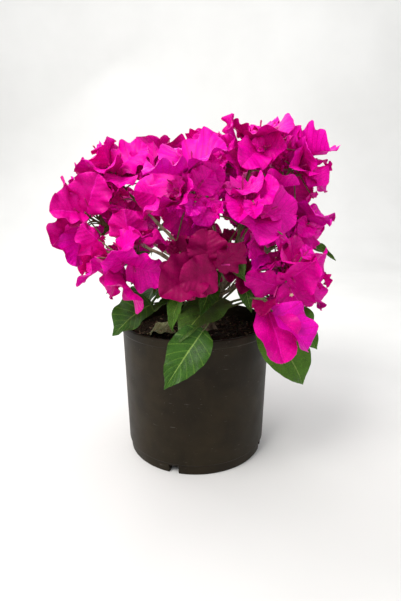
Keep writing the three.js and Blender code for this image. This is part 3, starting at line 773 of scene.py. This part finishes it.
def blade_grid(blade, look, draw):
    """Points in rows along the side veins, cupped, curled, quilted between them and waved at the edge."""
    feet = np.linspace(0.05, 0.8, look["veins"])
    pitch = feet[1] - feet[0]
    half_vein = 0.5 * look["rib"] / blade.length
    steps = np.array([-half_vein, half_vein] + [share * pitch for share in look["between"]])
    rows = np.concatenate([[0.004], (feet[:, None] + steps).ravel(), [0.93, 0.97, 0.996]])
    columns = np.array(look["columns"])
    S, A = np.meshgrid(rows, np.concatenate([-columns[::-1], columns]), indexing="ij")
    sweep = np.where(A < 0, 0.7 + 0.6 * draw(), 0.7 + 0.6 * draw()) * abs(A) ** 1.2
    T = 1 - (1 - S) ** (1 + sweep)
    cell = (S - feet[0]) / pitch % 1

    swell, close = blade.fullness
    roundest, least_round = look["round"]
    close *= roundest + (least_round - roundest) * draw()
    half = 0.5 * blade.width * outline(T, swell, close) * (1 - look["point"] * (0.5 + 0.5 * draw()) * T**5)
    half *= 1 + look["notch"] * abs(A) ** 5 * np.cos(TURN * cell)

    twist, curl, fold = (draw() - 0.5) * 0.45, (draw() - 0.3) * 0.9, 1 + 0.9 * (draw() < look["folded"])
    lift = blade.cup * fold * half * abs(A) ** 1.4 + twist * half * A * T
    lift -= curl * blade.length * np.clip(T - 0.68, 0, None) ** 2
    lift += look["quilt"] * (1 - (2 * cell - 1) ** 2) * np.sqrt(abs(A)) * (1 - abs(A) ** 4) * np.sqrt(T)
    lift -= 0.7 * look["quilt"] * np.exp(-((A * half / 1.6) ** 2))
    beats = 1.4 + 1.8 * draw()
    phases = np.where(A > 0, draw(), draw()) * TURN
    wave = np.sin(TURN * beats * T + phases) * np.sin(math.pi * T) ** 0.5
    lift += look["wave"] * blade.width * abs(A) ** 3 * wave
    where = zip((T * 5).ravel(), (A * 2.5).ravel())
    rough = [noise.noise(Vector((x, y, 7.3 * blade.length))) for x, y in where]
    lift += look["crumple"] * np.array(rough).reshape(T.shape) * np.sin(math.pi * T)

    middle, normal = blade.midrib(T)
    side = cross(blade.direction, blade.up)
    return middle + side * (half * A)[..., None] + normal * lift[..., None]


def add_blade(heap, blade, look, draw, slots):
    """Adds a thin closed sheet, in the material slots of its plain parts, its side veins and its midrib."""
    grid = blade_grid(blade, look, draw)
    rows, columns = grid.shape[:2]
    square = cross(np.gradient(grid, axis=0), np.gradient(grid, axis=1))
    square /= np.maximum(np.linalg.norm(square, axis=2, keepdims=True), 1e-9)
    inner = np.zeros((rows, columns), bool)
    inner[1:-1, 1:-1] = True
    upper = np.arange(inner.size).reshape(inner.shape)
    lower = upper.copy()
    lower[inner] = inner.size + np.arange(inner.sum())
    shift = np.where(inner, look["thickness"] / 2, 0)[..., None] * square
    faces = []
    for sheet, order in ((upper, (0, 1, 2, 3)), (lower, (3, 2, 1, 0))):
        corners = (sheet[:-1, :-1], sheet[:-1, 1:], sheet[1:, 1:], sheet[1:, :-1])
        faces += np.stack([corners[i] for i in order], axis=-1).reshape(-1, 4).tolist()
    sheet_slot, vein_slot, rib_slot = slots
    face_slots = np.full((rows - 1, columns - 1), sheet_slot)
    pitch = 2 + len(look["between"])
    face_slots[1 : 1 + look["veins"] * pitch : pitch] = vein_slot
    face_slots[:, (columns - 1) // 2] = rib_slot
    vertices = np.concatenate([(grid - shift).reshape(-1, 3), (grid + shift)[inner]])
    heap.add(vertices, faces, np.tile(face_slots.ravel(), 2).tolist())


def add_flower_tubes(heap, flower, draw):
    """The small true flowers, each on the face of its bract; some are open, with a pale star."""
    for blade in flower.bracts:
        start, normal = blade.midrib(np.array(tube["along"]))
        shortest, longest = tube["length"]
        size = blade.length / bract["length"]
        length = (shortest + (longest - shortest) * draw()) * size
        heading = unit(flower.axis * 1.6 + blade.direction * 0.8 + normal * 0.3)
        end = start + heading * length
        if not within_reach(end):
            continue
        line = limb_path(start - normal * 0.5, heading, end, unit(heading + normal * 0.3), 6)
        is_open = draw() < tube["open"]
        mouth = (0.85, 1.05, 0.95) if is_open else (0.95, 1.25, 0.35)
        heap.add(*tube_mesh(line, tube["radius"] * np.array([0.7, 0.95, 1.0, 0.9, *mouth]), 6))
        if is_open:
            heap.add(*star_mesh(line[-1], unit(line[-1] - line[-2]), tube["star"] * size), 1)


def star_mesh(centre, axis, radius):
    """A five-lobed shallow star with a small raised throat, as a closed solid."""
    side, up = square_to(axis)
    turns = np.arange(20) * TURN / 20
    lobes = radius * (0.72 + 0.28 * np.cos(5 * turns))
    flat = np.cos(turns)[:, None] * side + np.sin(turns)[:, None] * up
    profile = ((0.0, -0.9), (0.45, -0.4), (1.0, 0.5), (0.9, 0.8), (0.4, 0.35))
    rings = [centre + axis * rise + np.maximum(lobes * share, 0.5)[:, None] * flat for share, rise in profile]
    return closed_rings(rings, centre - axis, centre + axis * 0.1)


# ---- camera


def add_camera():
    data = bpy.data.cameras.new("camera")
    data.lens = view["focal"] / view["side"] * data.sensor_width
    data.clip_start = 0.01
    camera = bpy.data.objects.new("camera", data)
    camera.location = eye * MM
    camera.rotation_euler = (math.radians(90 + view["pitch"]), 0, -math.radians(view["yaw"]))
    bpy.context.collection.objects.link(camera)
    bpy.context.scene.camera = camera


add_camera()

# ---- materials


class Shader:
    """A Principled material with helpers for patterns that lie in the object's own space, in metres."""

    def __init__(self, name, roughness, **uniform):
        self.material = bpy.data.materials.new(name)
        self.material.use_nodes = True
        self.nodes, self.links = self.material.node_tree.nodes, self.material.node_tree.links
        self.surface = self.nodes["Principled BSDF"]
        self.place = self.nodes.new("ShaderNodeTexCoord").outputs["Object"]
        self.surface.inputs["Roughness"].default_value = roughness
        for socket, value in uniform.items():
            self.surface.inputs[socket.replace("_", " ")].default_value = value

    def add(self, kind, **inputs):
        """A node whose inputs are set to values, or linked to other nodes' outputs."""
        node = self.nodes.new(f"ShaderNode{kind}")
        for name, value in inputs.items():
            socket = node.inputs[name.replace("_", " ")]
            if isinstance(value, bpy.types.NodeSocket):
                self.links.new(value, socket)
            else:
                socket.default_value = value
        return node

    def noise(self, grain, detail=4.0, stretch=(1, 1, 1), distortion=0.0):
        """Noise whose features are about grain millimetres large, longer along the stretched axes."""
        mapping = self.add("Mapping", Vector=self.place, Scale=[1 / share for share in stretch])
        look = {"Scale": 1 / (grain * MM), "Detail": detail, "Distortion": distortion}
        return self.add("TexNoise", Vector=mapping.outputs["Vector"], **look).outputs["Fac"]

    def cells(self, grain):
        """The distance to the edges of cells about grain millimetres large, as a net of fine veins."""
        pattern = self.add("TexVoronoi", Vector=self.place, Scale=1 / (grain * MM))
        pattern.feature = "DISTANCE_TO_EDGE"
        return pattern.outputs["Distance"]

    def ramp(self, value, stops):
        node = self.add("ValToRGB", Fac=value)
        elements = node.color_ramp.elements
        while len(elements) < len(stops):
            elements.new(0.5)
        for element, (position, tone) in zip(elements, stops):
            element.position = position
            element.color = (*tone, 1)
        return node.outputs["Color"]

    def mix(self, share, one, two):
        """One colour where the share is 0 and the other where it is 1."""
        node = self.add("Mix", Factor=share)
        node.data_type = "RGBA"
        for socket, value in ((node.inputs[6], one), (node.inputs[7], two)):
            if isinstance(value, tuple):
                socket.default_value = (*value, 1)
            else:
                self.links.new(value, socket)
        return node.outputs[2]

    def colour(self, output):
        self.links.new(output, self.surface.inputs["Base Color"])

    def vary_roughness(self, value, low, high):
        node = self.add("MapRange", Value=value, To_Min=low, To_Max=high)
        self.links.new(node.outputs["Result"], self.surface.inputs["Roughness"])

    def bump(self, height, distance, strength=1.0):
        """A relief of a height in millimetres, laid over the ones before it."""
        node = self.add("Bump", Height=height, Distance=distance * MM, Strength=strength)
        normal = self.surface.inputs["Normal"]
        if normal.links:
            self.links.new(normal.links[0].from_socket, node.inputs["Normal"])
        self.links.new(node.outputs["Normal"], normal)


BLACK, WHITE = (0, 0, 0), (1, 1, 1)


def tint(tone, factor):
    return tuple(min(1.0, channel * factor) for channel in tone)


def petal_material(name, tone):
    """Papery bract: mottled colour and a net of fine veins, almost without gloss."""
    shader = Shader(name, 0.5, Specular_IOR_Level=0.09)
    veins = shader.cells(2.6)
    patches = shader.noise(7, detail=6, distortion=0.7)
    body = shader.ramp(patches, [(0.28, tint(tone, 0.78)), (0.5, tone), (0.74, tint(tone, 1.14))])
    lines = shader.ramp(veins, [(0.0, WHITE), (0.14, BLACK)])
    shader.colour(shader.mix(lines, body, tint(tone, 0.82)))
    shader.vary_roughness(shader.noise(3), 0.3, 0.52)
    shader.bump(veins, 0.25, 0.5)
    shader.bump(shader.noise(5, detail=3, stretch=(1, 1, 2)), 0.8, 0.6)
    return shader.material


def leaf_material(name, tone):
    """Leaf: darker between its veins, with a soft satin gloss."""
    shader = Shader(name, 0.42, Specular_IOR_Level=0.18)
    patches = shader.noise(12, detail=5, distortion=0.4)
    body = shader.ramp(patches, [(0.3, tint(tone, 0.62)), (0.55, tone), (0.8, tint(tone, 1.4))])
    veins = shader.cells(2.1)
    lines = shader.ramp(veins, [(0.0, WHITE), (0.1, BLACK)])
    shader.colour(shader.mix(lines, body, tint(tone, 1.5)))
    shader.vary_roughness(shader.noise(5), 0.34, 0.55)
    shader.bump(veins, 0.2, 0.5)
    shader.bump(shader.noise(2), 0.2, 0.4)
    return shader.material


def wood_material(name, dark, light, grain):
    shader = Shader(name, 0.85, Specular_IOR_Level=0.2)
    streaks = shader.noise(grain, detail=6, stretch=(1, 1, 5), distortion=0.5)
    body = shader.ramp(streaks, [(0.3, dark), (0.5, tint(light, 0.8)), (0.72, light)])
    spots = shader.ramp(shader.noise(grain * 0.5), [(0.62, BLACK), (0.7, WHITE)])
    shader.colour(shader.mix(spots, body, tint(dark, 0.8)))
    shader.vary_roughness(streaks, 0.7, 0.95)
    shader.bump(streaks, 0.8, 0.8)
    shader.bump(shader.noise(0.7), 0.3, 0.5)
    return shader.material


def pot_material():
    """Black moulded plastic: faint flow lines round the wall, a fine grain, dust and a few pale scuffs."""
    shader = Shader("pot_plastic", 0.5, Specular_IOR_Level=0.14)
    dust = shader.ramp(shader.noise(34, detail=6, distortion=0.8), [(0.35, BLACK), (0.8, WHITE)])
    body = shader.mix(dust, (0.0120, 0.0080, 0.0032), (0.0250, 0.0172, 0.0074))
    specks = shader.ramp(shader.noise(1.6, detail=2), [(0.7, BLACK), (0.76, WHITE)])
    scuffs = shader.noise(5, detail=3, stretch=(2.5, 2.5, 0.5))
    scuffs = shader.ramp(scuffs, [(0.7, BLACK), (0.78, WHITE)])
    speckled = shader.mix(specks, body, (0.055, 0.045, 0.032))
    shader.colour(shader.mix(scuffs, speckled, (0.075, 0.066, 0.055)))
    shader.vary_roughness(shader.noise(18, detail=5), 0.36, 0.6)
    shader.bump(shader.noise(0.8, detail=2), 0.12, 0.35)
    shader.bump(shader.noise(26, detail=3, stretch=(4, 4, 0.6)), 0.5, 0.35)
    return shader.material


def crumb_material(name, dark, light):
    shader = Shader(name, 0.95, Specular_IOR_Level=0.15)
    crumbs = shader.noise(2.2, detail=8, distortion=0.4)
    shader.colour(shader.ramp(crumbs, [(0.32, dark), (0.6, tint(light, 0.7)), (0.8, light)]))
    shader.vary_roughness(crumbs, 0.85, 1.0)
    shader.bump(crumbs, 1.2, 0.9)
    return shader.material


# The tones that the sprays are dealt, the last a dark crimson of painted shade for bracts low in the crown's
# front; then come those of the veins and midribs.
bract_tones = {
    "bright": (0.82, 0.0010, 0.385),
    "rose": (0.70, 0.0008, 0.280),
    "violet": (0.75, 0.0016, 0.420),
    "pale": (0.88, 0.0040, 0.480),
    # painted shade: a dark, redder magenta that stands in for the shade in the crown's lower front
    "deep": (0.27, 0.0004, 0.070),
}
leaf_tones = {"fresh": (0.052, 0.130, 0.009), "mid": (0.027, 0.080, 0.007), "dusty": (0.050, 0.100, 0.018)}
bract_ribs = {"vein": (0.70, 0.0012, 0.305), "rib": (0.86, 0.008, 0.43)}
leaf_ribs = {"vein": (0.060, 0.135, 0.014), "rib": (0.15, 0.24, 0.045)}
tones = list(bract_tones)
bract_materials = [petal_material(f"bract_{name}", tone) for name, tone in (bract_tones | bract_ribs).items()]
leaf_materials = [leaf_material(f"leaf_{name}", tone) for name, tone in (leaf_tones | leaf_ribs).items()]
tube_materials = [
    petal_material("tube_rose", (0.56, 0.03, 0.24)),
    petal_material("star_cream", (0.80, 0.70, 0.46)),
]
twig_material = wood_material("green_twig", (0.08, 0.10, 0.03), (0.20, 0.24, 0.09), 2.2)
bark_material = wood_material("bark_grey", (0.09, 0.068, 0.045), (0.34, 0.28, 0.19), 3.0)

# ---- the plant

flowers = [flower for index in range(len(heads)) for flower in grow_head(index)]
grown = Grown()
for flower in flowers:
    grown.add(flower.bracts)
standing = [blade.points(SAMPLE_T, SAMPLE_ACROSS) for flower in flowers for blade in flower.bracts]
for index in range(len(heads)):
    flowers += fill_head(index, grown, np.concatenate(standing))

deal = random_stream(7)


def bract_slots(tone):
    """The slots of a bract's sheet, side veins and midrib; on one coloured in painted shade the veins don't
    show.
    """
    slot = tones.index(tone)
    return (slot, slot, slot) if tone == "deep" else (slot, len(tones), len(tones) + 1)


def leaf_slots():
    return int(deal() * len(leaf_tones)), len(leaf_tones), len(leaf_tones) + 1


def tone_of(flower):
    """A spray has its head's own tone, or now and then another where that isn't the painted shade."""
    tone = heads[flower.head]["tone"]
    return tone if tone == "deep" or deal() < 0.6 else tones[int(deal() ** 1.5 * (len(tones) - 1))]


for index, row in enumerate(heads):
    heap = Heap()
    for flower in (one for one in flowers if one.head == index):
        tone = tone_of(flower)
        look = painted_shade_look if tone == "deep" else bract_look
        for blade in flower.bracts:
            add_blade(heap, blade, look, deal, bract_slots(tone))
    # The low bracts of front_low are coloured in painted shade.
    if row["name"] == "front_low":
        for blade in (blade_between(low, bract) for low in low_bracts):
            add_blade(heap, blade, painted_shade_look, deal, bract_slots("deep"))
    heap.piece(f"bracts_{row['name']}", bract_materials, "bracts", f"blossom_{row['name']}")

tubes, twigs = Heap(), Heap()
for flower in flowers:
    add_flower_tubes(tubes, flower, deal)
    outward = outward_of(heads[flower.head])
    line = limb_path(flower.fork, outward, flower.seat + flower.axis * bract["stagger"], flower.axis, 7)
    twigs.add(*tube_mesh(line, np.linspace(*stalk["radius"], len(line)) * 0.8, 6))
for index in range(len(heads)):
    foot, tip = head_stem(index)
    line = [foot - outward_of(heads[index]) * 2, foot, (foot + tip) / 2, tip]
    twigs.add(*tube_mesh(line, [boughs["radius"][1], boughs["radius"][1], 1.35, 1.0], 8))


def add_shoot(row):
    """A shoot's stem, leaf stalks, and leaves or bracts."""
    heap = Heap()
    hub, stem = hub_of(row), stem_line(row, 14)
    twigs.add(*tube_mesh(stem, np.linspace(*stems["radius"], len(stem)), 8))
    of_bracts = row["kind"] == "bracts"
    for k, blade in enumerate(shoot_blades(row)):
        line = limb_path(hub, unit(blade.base - hub), blade.base + blade.direction * 3, blade.direction, 6)
        twigs.add(*tube_mesh(line, np.linspace(*stalk["radius"], len(line)), 6))
        if of_bracts:
            add_blade(heap, blade, bract_look, deal, bract_slots(hanging_tones[k]))
        else:
            add_blade(heap, blade, leaf_look, deal, leaf_slots())
    kind, materials = ("bracts", bract_materials) if of_bracts else ("foliage", leaf_materials)
    node = f"{'blossom' if of_bracts else 'leaves'}_{row['name']}"
    heap.piece(f"{kind}_{row['name']}", materials, row["kind"], node)


def grow_bough_leaves():
    """Small leaves on short stalks along the boughs, below their heads, and the single ones."""
    blades = [blade_between(row, leaf) for row in single_leaves]
    for row in heads:
        draw = random_stream(row["seed"] + 2000)
        line = bough_line(row, 40)
        for k in range(bough_leaves["each"]):
            low, high = bough_leaves["shares"]
            share = low + (high - low) * (k + draw()) / bough_leaves["each"]
            at = line[int(share * (len(line) - 1))]
            heading = unit(bearing_of(row["azimuth"] + 75 * (draw() - 0.5)) - np.array([0, 0, 0.2]))
            base = at + heading * (6 + 6 * draw())
            short, long = bough_leaves["length"]
            length = short + (long - short) * draw()
            tip = base + heading * length - np.array([0, 0, bough_leaves["drop"] * length])
            width, turn = length * (0.5 + 0.12 * draw()), (draw() - 0.5) * 70
            blade = blade_between((base, tip, width, leaf["bend"] * 0.7, turn), leaf)
            samples = blade.points(SAMPLE_T, SAMPLE_ACROSS)
            if clear_of_all(samples, bough_leaves) and grown.has_room(blade, leaf["stations"], 0):
                blades.append(blade)
                stalk_line = limb_path(at, heading, base + blade.direction * 2, blade.direction, 5)
                twigs.add(*tube_mesh(stalk_line, np.linspace(0.9, 0.7, len(stalk_line)), 6))
    return blades


for row in shoots:
    add_shoot(row)
heap = Heap()
for blade in grow_bough_leaves():
    add_blade(heap, blade, leaf_look, deal, leaf_slots())
heap.piece("foliage_boughs", leaf_materials, "leaves")
tubes.piece("tube_flowers", tube_materials, "bracts")
twigs.piece("twigs", [twig_material], "bark")

# ---- trunk and boughs with their bark


def bark_relief(points, radii, sides, depth, seed):
    """A relief of long ridges and knots for a limb, as a function of ring and side."""

    def relief(ring, k):
        turn = TURN * k / sides
        x, y, z = points[ring]
        ridges = noise.noise(Vector((math.cos(turn) * 2.2, math.sin(turn) * 2.2, z * 0.05 + seed)))
        knots = noise.noise(Vector((x * 0.16 + seed, y * 0.16 + math.cos(turn), z * 0.16 + math.sin(turn))))
        return depth * radii[ring] * (0.7 * ridges + 0.6 * knots)

    return relief


def add_trunk(heap):
    shares = np.linspace(-0.06, 1, 60)
    points = [trunk_point(max(share, 0)) + np.array([0, 0, min(share, 0) * 50]) for share in shares]
    radii = [trunk_radius(max(share, 0)) for share in shares]
    sides = 40
    rough = bark_relief(points, radii, sides, 0.2, 3.1)

    def roots(ring, k):
        height = max(shares[ring], 0) * (trunk["top"][2] - trunk["foot"][2])
        lobes = math.cos(5 * TURN * k / sides + 0.8) * math.exp(-height / 6)
        return rough(ring, k) + 1.8 * lobes

    heap.add(*tube_mesh(points, radii, sides, roots))


def add_bough(heap, number, row):
    """A bough that winds a little, swells at its foot and at its nodes, and bears a thorn at each node."""
    line = bough_line(row, 36)
    draw = random_stream(row["seed"] + 3000)
    side, up = square_to(unit(line[-1] - line[0]))
    beat = TURN * np.linspace(0, 3.5, len(line)) + TURN * draw()
    fade = np.sin(np.linspace(0, math.pi, len(line)))
    line = line + 0.9 * (np.sin(beat) * fade)[:, None] * side + 0.6 * (np.cos(beat) * fade)[:, None] * up
    radii = np.linspace(*boughs["radius"], len(line))
    radii[:6] += 1.2 * (1 - np.arange(6) / 6) ** 2
    radii += 0.35 * np.exp(-(((np.arange(len(line)) % 9) - 4) ** 2))
    line = np.vstack([[line[0] - bearing_of(row["azimuth"]) * 2], line])
    radii = np.append(radii[0], radii)
    heap.add(*tube_mesh(line, radii, 12, bark_relief(line, radii, 12, 0.22, number * 5.7)))
    for ring in range(9, len(line) - 3, 9):
        add_thorn(heap, line[ring], unit(line[ring + 1] - line[ring]), radii[ring], draw)


def add_thorn(heap, at, axis, radius, draw):
    side, up = square_to(axis)
    turn = TURN * draw()
    out = side * math.cos(turn) + up * math.sin(turn)
    length = 4 + 3 * draw()
    tip = at + out * (radius + length) - axis * 1.5
    line = limb_path(at + out * radius * 0.5, out, tip, unit(out - axis), 4)
    heap.add(*tube_mesh(line, np.linspace(0.8, 0.08, len(line)), 6))


wood = Heap()
add_trunk(wood)
for number, row in enumerate(heads):
    add_bough(wood, number, row)
wood.piece("bark", [bark_material], "bark", "trunk", *(f"bough_{row['name']}" for row in heads), sharp=80)

# ---- pot and soil

inner_radius = pot["rim_radius"] - pot["lip"]["width"]
wall_top = pot["rim_radius"] - pot["lip"]["overhang"]
wall_foot = pot["foot"]["radius"] + pot["foot"]["step"]


def rounded(profile, radii, steps=5):
    """The profile with each of its corners rounded off to a radius."""
    corners = [np.array(point, float) for point in profile]
    points = [corners[0]]
    for before, corner, after, radius in zip(corners, corners[1:], corners[2:], radii):
        back, ahead = before - corner, after - corner
        reach = min(radius, 0.45 * np.linalg.norm(back), 0.45 * np.linalg.norm(ahead))
        start, end = corner + unit(back) * reach, corner + unit(ahead) * reach
        for t in np.linspace(0, 1, steps):
            points.append(start * (1 - t) ** 2 + 2 * corner * t * (1 - t) + end * t**2)
    return points + [corners[-1]]


def add_pot():
    """The pot turned from its profile, with the notches round its foot cut out."""
    lip_foot = pot["height"] - pot["lip"]["height"]
    foot = pot["foot"]
    profile = [
        (0, 0),
        (pot["gate"], 0),
        (pot["gate"] + foot["recess"], foot["recess"]),
        (foot["radius"] - foot["width"] - foot["recess"], foot["recess"]),
        (foot["radius"] - foot["width"], 0),
        (foot["radius"] - 0.3, 0),
        (foot["radius"] + 0.3, foot["height"] - 1),
        (wall_foot, foot["height"]),
        (wall_top, lip_foot - 1),
        (pot["rim_radius"], lip_foot),
        (pot["rim_radius"], pot["height"]),
        (inner_radius, pot["height"]),
        (inner_radius, lip_foot),
        (wall_top - pot["wall"], lip_foot - 2),
        (wall_foot - pot["wall"], foot["height"] + pot["floor"]),
        (wall_foot - pot["wall"] - 4, foot["recess"] + pot["floor"]),
        (0, foot["recess"] + pot["floor"]),
    ]
    radii = [0.8, 0.8, 0.8, 0.8, 1.6, 0.5, 1.2, 0.8, 0.8, 1.1, 1.1, 0.6, 0.6, 2, 2]
    rings = [circle_of(160) * r + (0, 0, z) for r, z in rounded(profile, radii)[1:-1]]
    heap = Heap()
    heap.add(*closed_rings(rings, (0, 0, profile[0][1]), (0, 0, profile[-1][1])))
    piece = heap.piece("pot_shell", [pot_material()], "pot", "pot", sharp=40)
    notch = pot["notch"]
    for i in range(notch["count"]):
        bpy.ops.mesh.primitive_cube_add(size=1)
        cutter = bpy.context.object
        turn = math.radians(notch["first"] + 360 * i / notch["count"])
        cutter.scale = (2 * notch["depth"] * MM, notch["width"] * MM, 2 * notch["height"] * MM)
        cutter.location = (foot["radius"] * MM * math.cos(turn), foot["radius"] * MM * math.sin(turn), 0)
        cutter.rotation_euler = (0, 0, turn)
        cut = piece.modifiers.new("notch", "BOOLEAN")
        cut.operation, cut.solver, cut.object = "DIFFERENCE", "EXACT", cutter
        bpy.context.view_layer.objects.active = piece
        bpy.ops.object.modifier_apply(modifier=cut.name)
        bpy.data.objects.remove(cutter)


def soil_height(x, y):
    """The soil's height at a place: a low dome with soft lumps, flat where the trunk stands."""
    outward = math.hypot(x, y) / inner_radius
    lumps = math.sin(x * 0.13 + 1) * math.cos(y * 0.11) + 0.6 * math.sin(x * 0.07 - y * 0.16 + 2)
    from_seat = math.hypot(x - trunk["foot"][0], y - trunk["foot"][1]) / soil["seat"]
    share = min(1, max(0, from_seat - 1))
    return soil["level"] + share * (soil["lump"] * lumps - soil["dome"] * outward * outward - 1)


def crumbly_height(x, y):
    return soil_height(x, y) + 1.1 * noise.fractal(Vector((x * 0.22, y * 0.22, 4.0)), 0.9, 2.2, 5)


def wall_inside(z):
    slope = (wall_top - wall_foot) / (pot["height"] - pot["lip"]["height"] - pot["foot"]["height"])
    return wall_foot - pot["wall"] - GAP + slope * (z - pot["foot"]["height"])


def add_soil():
    """Crumbly soil that fills the pot, with loose clods, bark chips and fibres on top."""
    low = pot["foot"]["recess"] + pot["floor"] + GAP
    corner = pot["foot"]["height"] + pot["floor"]
    edge = soil["level"] - soil["dome"] - 2 * soil["lump"]
    circle = circle_of(150)
    layers = ((wall_inside(corner) - 4.6, low), (wall_inside(corner), corner), (wall_inside(edge), edge))
    rings = [circle * radius + (0, 0, z) for radius, z in layers]
    for share in np.arange(44) / 44:
        ring = circle * wall_inside(edge) * (0.995 - 0.99 * share)
        ring[:, 2] = [crumbly_height(x, y) for x, y, _ in ring]
        rings.append(ring)
    heap = Heap()
    heap.add(*closed_rings(rings, (0, 0, low), (0, 0, crumbly_height(0, 0))))
    draw = random_stream(5)
    for _ in range(soil["clods"]):
        radius, turn = (inner_radius - 4) * math.sqrt(draw()), TURN * draw()
        x, y = radius * math.cos(turn), radius * math.sin(turn)
        if math.hypot(x - trunk["foot"][0], y - trunk["foot"][1]) > trunk["radius"]["flare"] + 1:
            heap.add(*clod_mesh(np.array([x, y, crumbly_height(x, y) + 0.2]), draw), 1 + int(draw() ** 2 * 3))
    materials = [
        crumb_material("soil_dark", (0.006, 0.004, 0.0025), (0.045, 0.029, 0.018)),
        crumb_material("clod_dark", (0.008, 0.005, 0.003), (0.05, 0.031, 0.019)),
        crumb_material("clod_brown", (0.030, 0.018, 0.011), (0.12, 0.075, 0.045)),
        crumb_material("chip_pale", (0.07, 0.045, 0.027), (0.26, 0.18, 0.115)),
    ]
    heap.piece("soil_crumbs", materials, "soil", "soil", sharp=45)


def clod_mesh(place, draw):
    """A small angular clod, or a longer chip or fibre, that lies in the soil's surface."""
    if draw() < 0.35:
        length, width, height = 2.2 + 3.5 * draw(), 0.8 + draw(), 0.5 + 0.5 * draw()
    else:
        length, width, height = 0.9 + 1.3 * draw(), 0.9 + 1.3 * draw(), 0.9 + 0.8 * draw()
    turn = TURN * draw()
    ahead = np.array([math.cos(turn), math.sin(turn), 0.5 * (draw() - 0.5)]) * length
    aside = np.array([-math.sin(turn), math.cos(turn), 0.4 * (draw() - 0.5)]) * width
    rings = []
    for share, reach in ((-1, 0.35), (-0.45, 0.95), (0.4, 1.0), (1, 0.3)):
        around = np.arange(6) * TURN / 6
        wobble = reach * (0.75 + 0.5 * np.array([draw() for _ in around]))
        ring = place + ahead * share + aside * (wobble * np.cos(around))[:, None]
        ring[:, 2] += height * wobble * np.sin(around)
        rings.append(ring)
    return closed_rings(rings, place - ahead, place + ahead)


def add_dry_leaf():
    """A dried, crumpled leaf that lies on the soil on both of its ends."""
    ends = [(x, y, soil_height(x, y) + 1.2) for x, y in (dry_leaf["base"], dry_leaf["tip"])]
    blade = blade_between((*ends, dry_leaf["width"], dry_leaf["bend"], dry_leaf["turn"]), leaf)
    heap = Heap()
    add_blade(heap, blade, dry_look, random_stream(12), (0, 1, 1))
    foot, joint = blade.base - blade.direction * 9, blade.base + blade.direction * 2
    line = limb_path(foot, blade.direction, joint, blade.direction, 6)
    heap.add(*tube_mesh(line, np.linspace(0.6, 0.8, len(line)), 6), 1)
    tones_dried = (("leaf_dried", (0.30, 0.32, 0.15)), ("leaf_dried_vein", (0.42, 0.42, 0.22)))
    heap.piece("dried_leaf", [leaf_material(*row) for row in tones_dried], "dry_leaf", "dry_leaf")


add_pot()
add_soil()
add_dry_leaf()

# ---- floor, backdrop and light


def add_stage():
    """A pale floor that curves up into a backdrop, as one sheet."""
    profile = [(-1.6, 0), (1.2, 0)]
    profile += [(1.2 + 0.6 * math.sin(a), 0.6 - 0.6 * math.cos(a)) for a in np.linspace(0.1, math.pi / 2, 14)]
    profile.append((1.8, 3.0))
    vertices = [(x, y, z) for y, z in profile for x in (-3, 3)]
    faces = [(2 * i, 2 * i + 1, 2 * i + 3, 2 * i + 2) for i in range(len(profile) - 1)]
    mesh = bpy.data.meshes.new("backdrop")
    mesh.from_pydata(vertices, [], faces)
    mesh.polygons.foreach_set("use_smooth", [True] * len(mesh.polygons))
    shader = Shader("backdrop_paint", 0.8, Specular_IOR_Level=0.1)
    patches = shader.noise(240, detail=3)
    shader.colour(shader.ramp(patches, [(0.3, (0.70, 0.695, 0.68)), (0.7, (0.745, 0.74, 0.725))]))
    shader.bump(shader.noise(3), 0.1, 0.1)
    mesh.materials.append(shader.material)
    obj = bpy.data.objects.new("backdrop", mesh)
    bpy.context.collection.objects.link(obj)


def add_area_light(name, place, target, size, power, tone):
    data = bpy.data.lights.new(name, "AREA")
    data.size, data.energy, data.color = size, power, tone
    obj = bpy.data.objects.new(name, data)
    obj.location = place
    obj.rotation_euler = (Vector(target) - Vector(place)).to_track_quat("-Z", "Y").to_euler()
    bpy.context.collection.objects.link(obj)


def add_light():
    world = bpy.data.worlds.new("studio")
    bpy.context.scene.world = world
    world.use_nodes = True
    world.node_tree.nodes["Background"].inputs["Color"].default_value = (0.96, 0.98, 1.0, 1)
    world.node_tree.nodes["Background"].inputs["Strength"].default_value = 0.76
    heart = (0.02, 0, 0.22)
    add_area_light("key", (-0.75, -0.85, 1.45), heart, 0.8, 24, (1.0, 0.98, 0.95))
    add_area_light("fill", (1.1, -0.9, 0.6), heart, 1.2, 0.5, (0.97, 0.98, 1.0))
    add_area_light("back", (-0.7, 0.9, 1.4), heart, 1.4, 11, (1.0, 1.0, 1.0))
    add_area_light("backdrop", (0, 0.5, 1.9), (0, 1.8, 0.9), 1.6, 12, (1.0, 1.0, 1.0))
    bpy.context.scene.view_settings.view_transform = "Standard"


add_stage()
add_light()
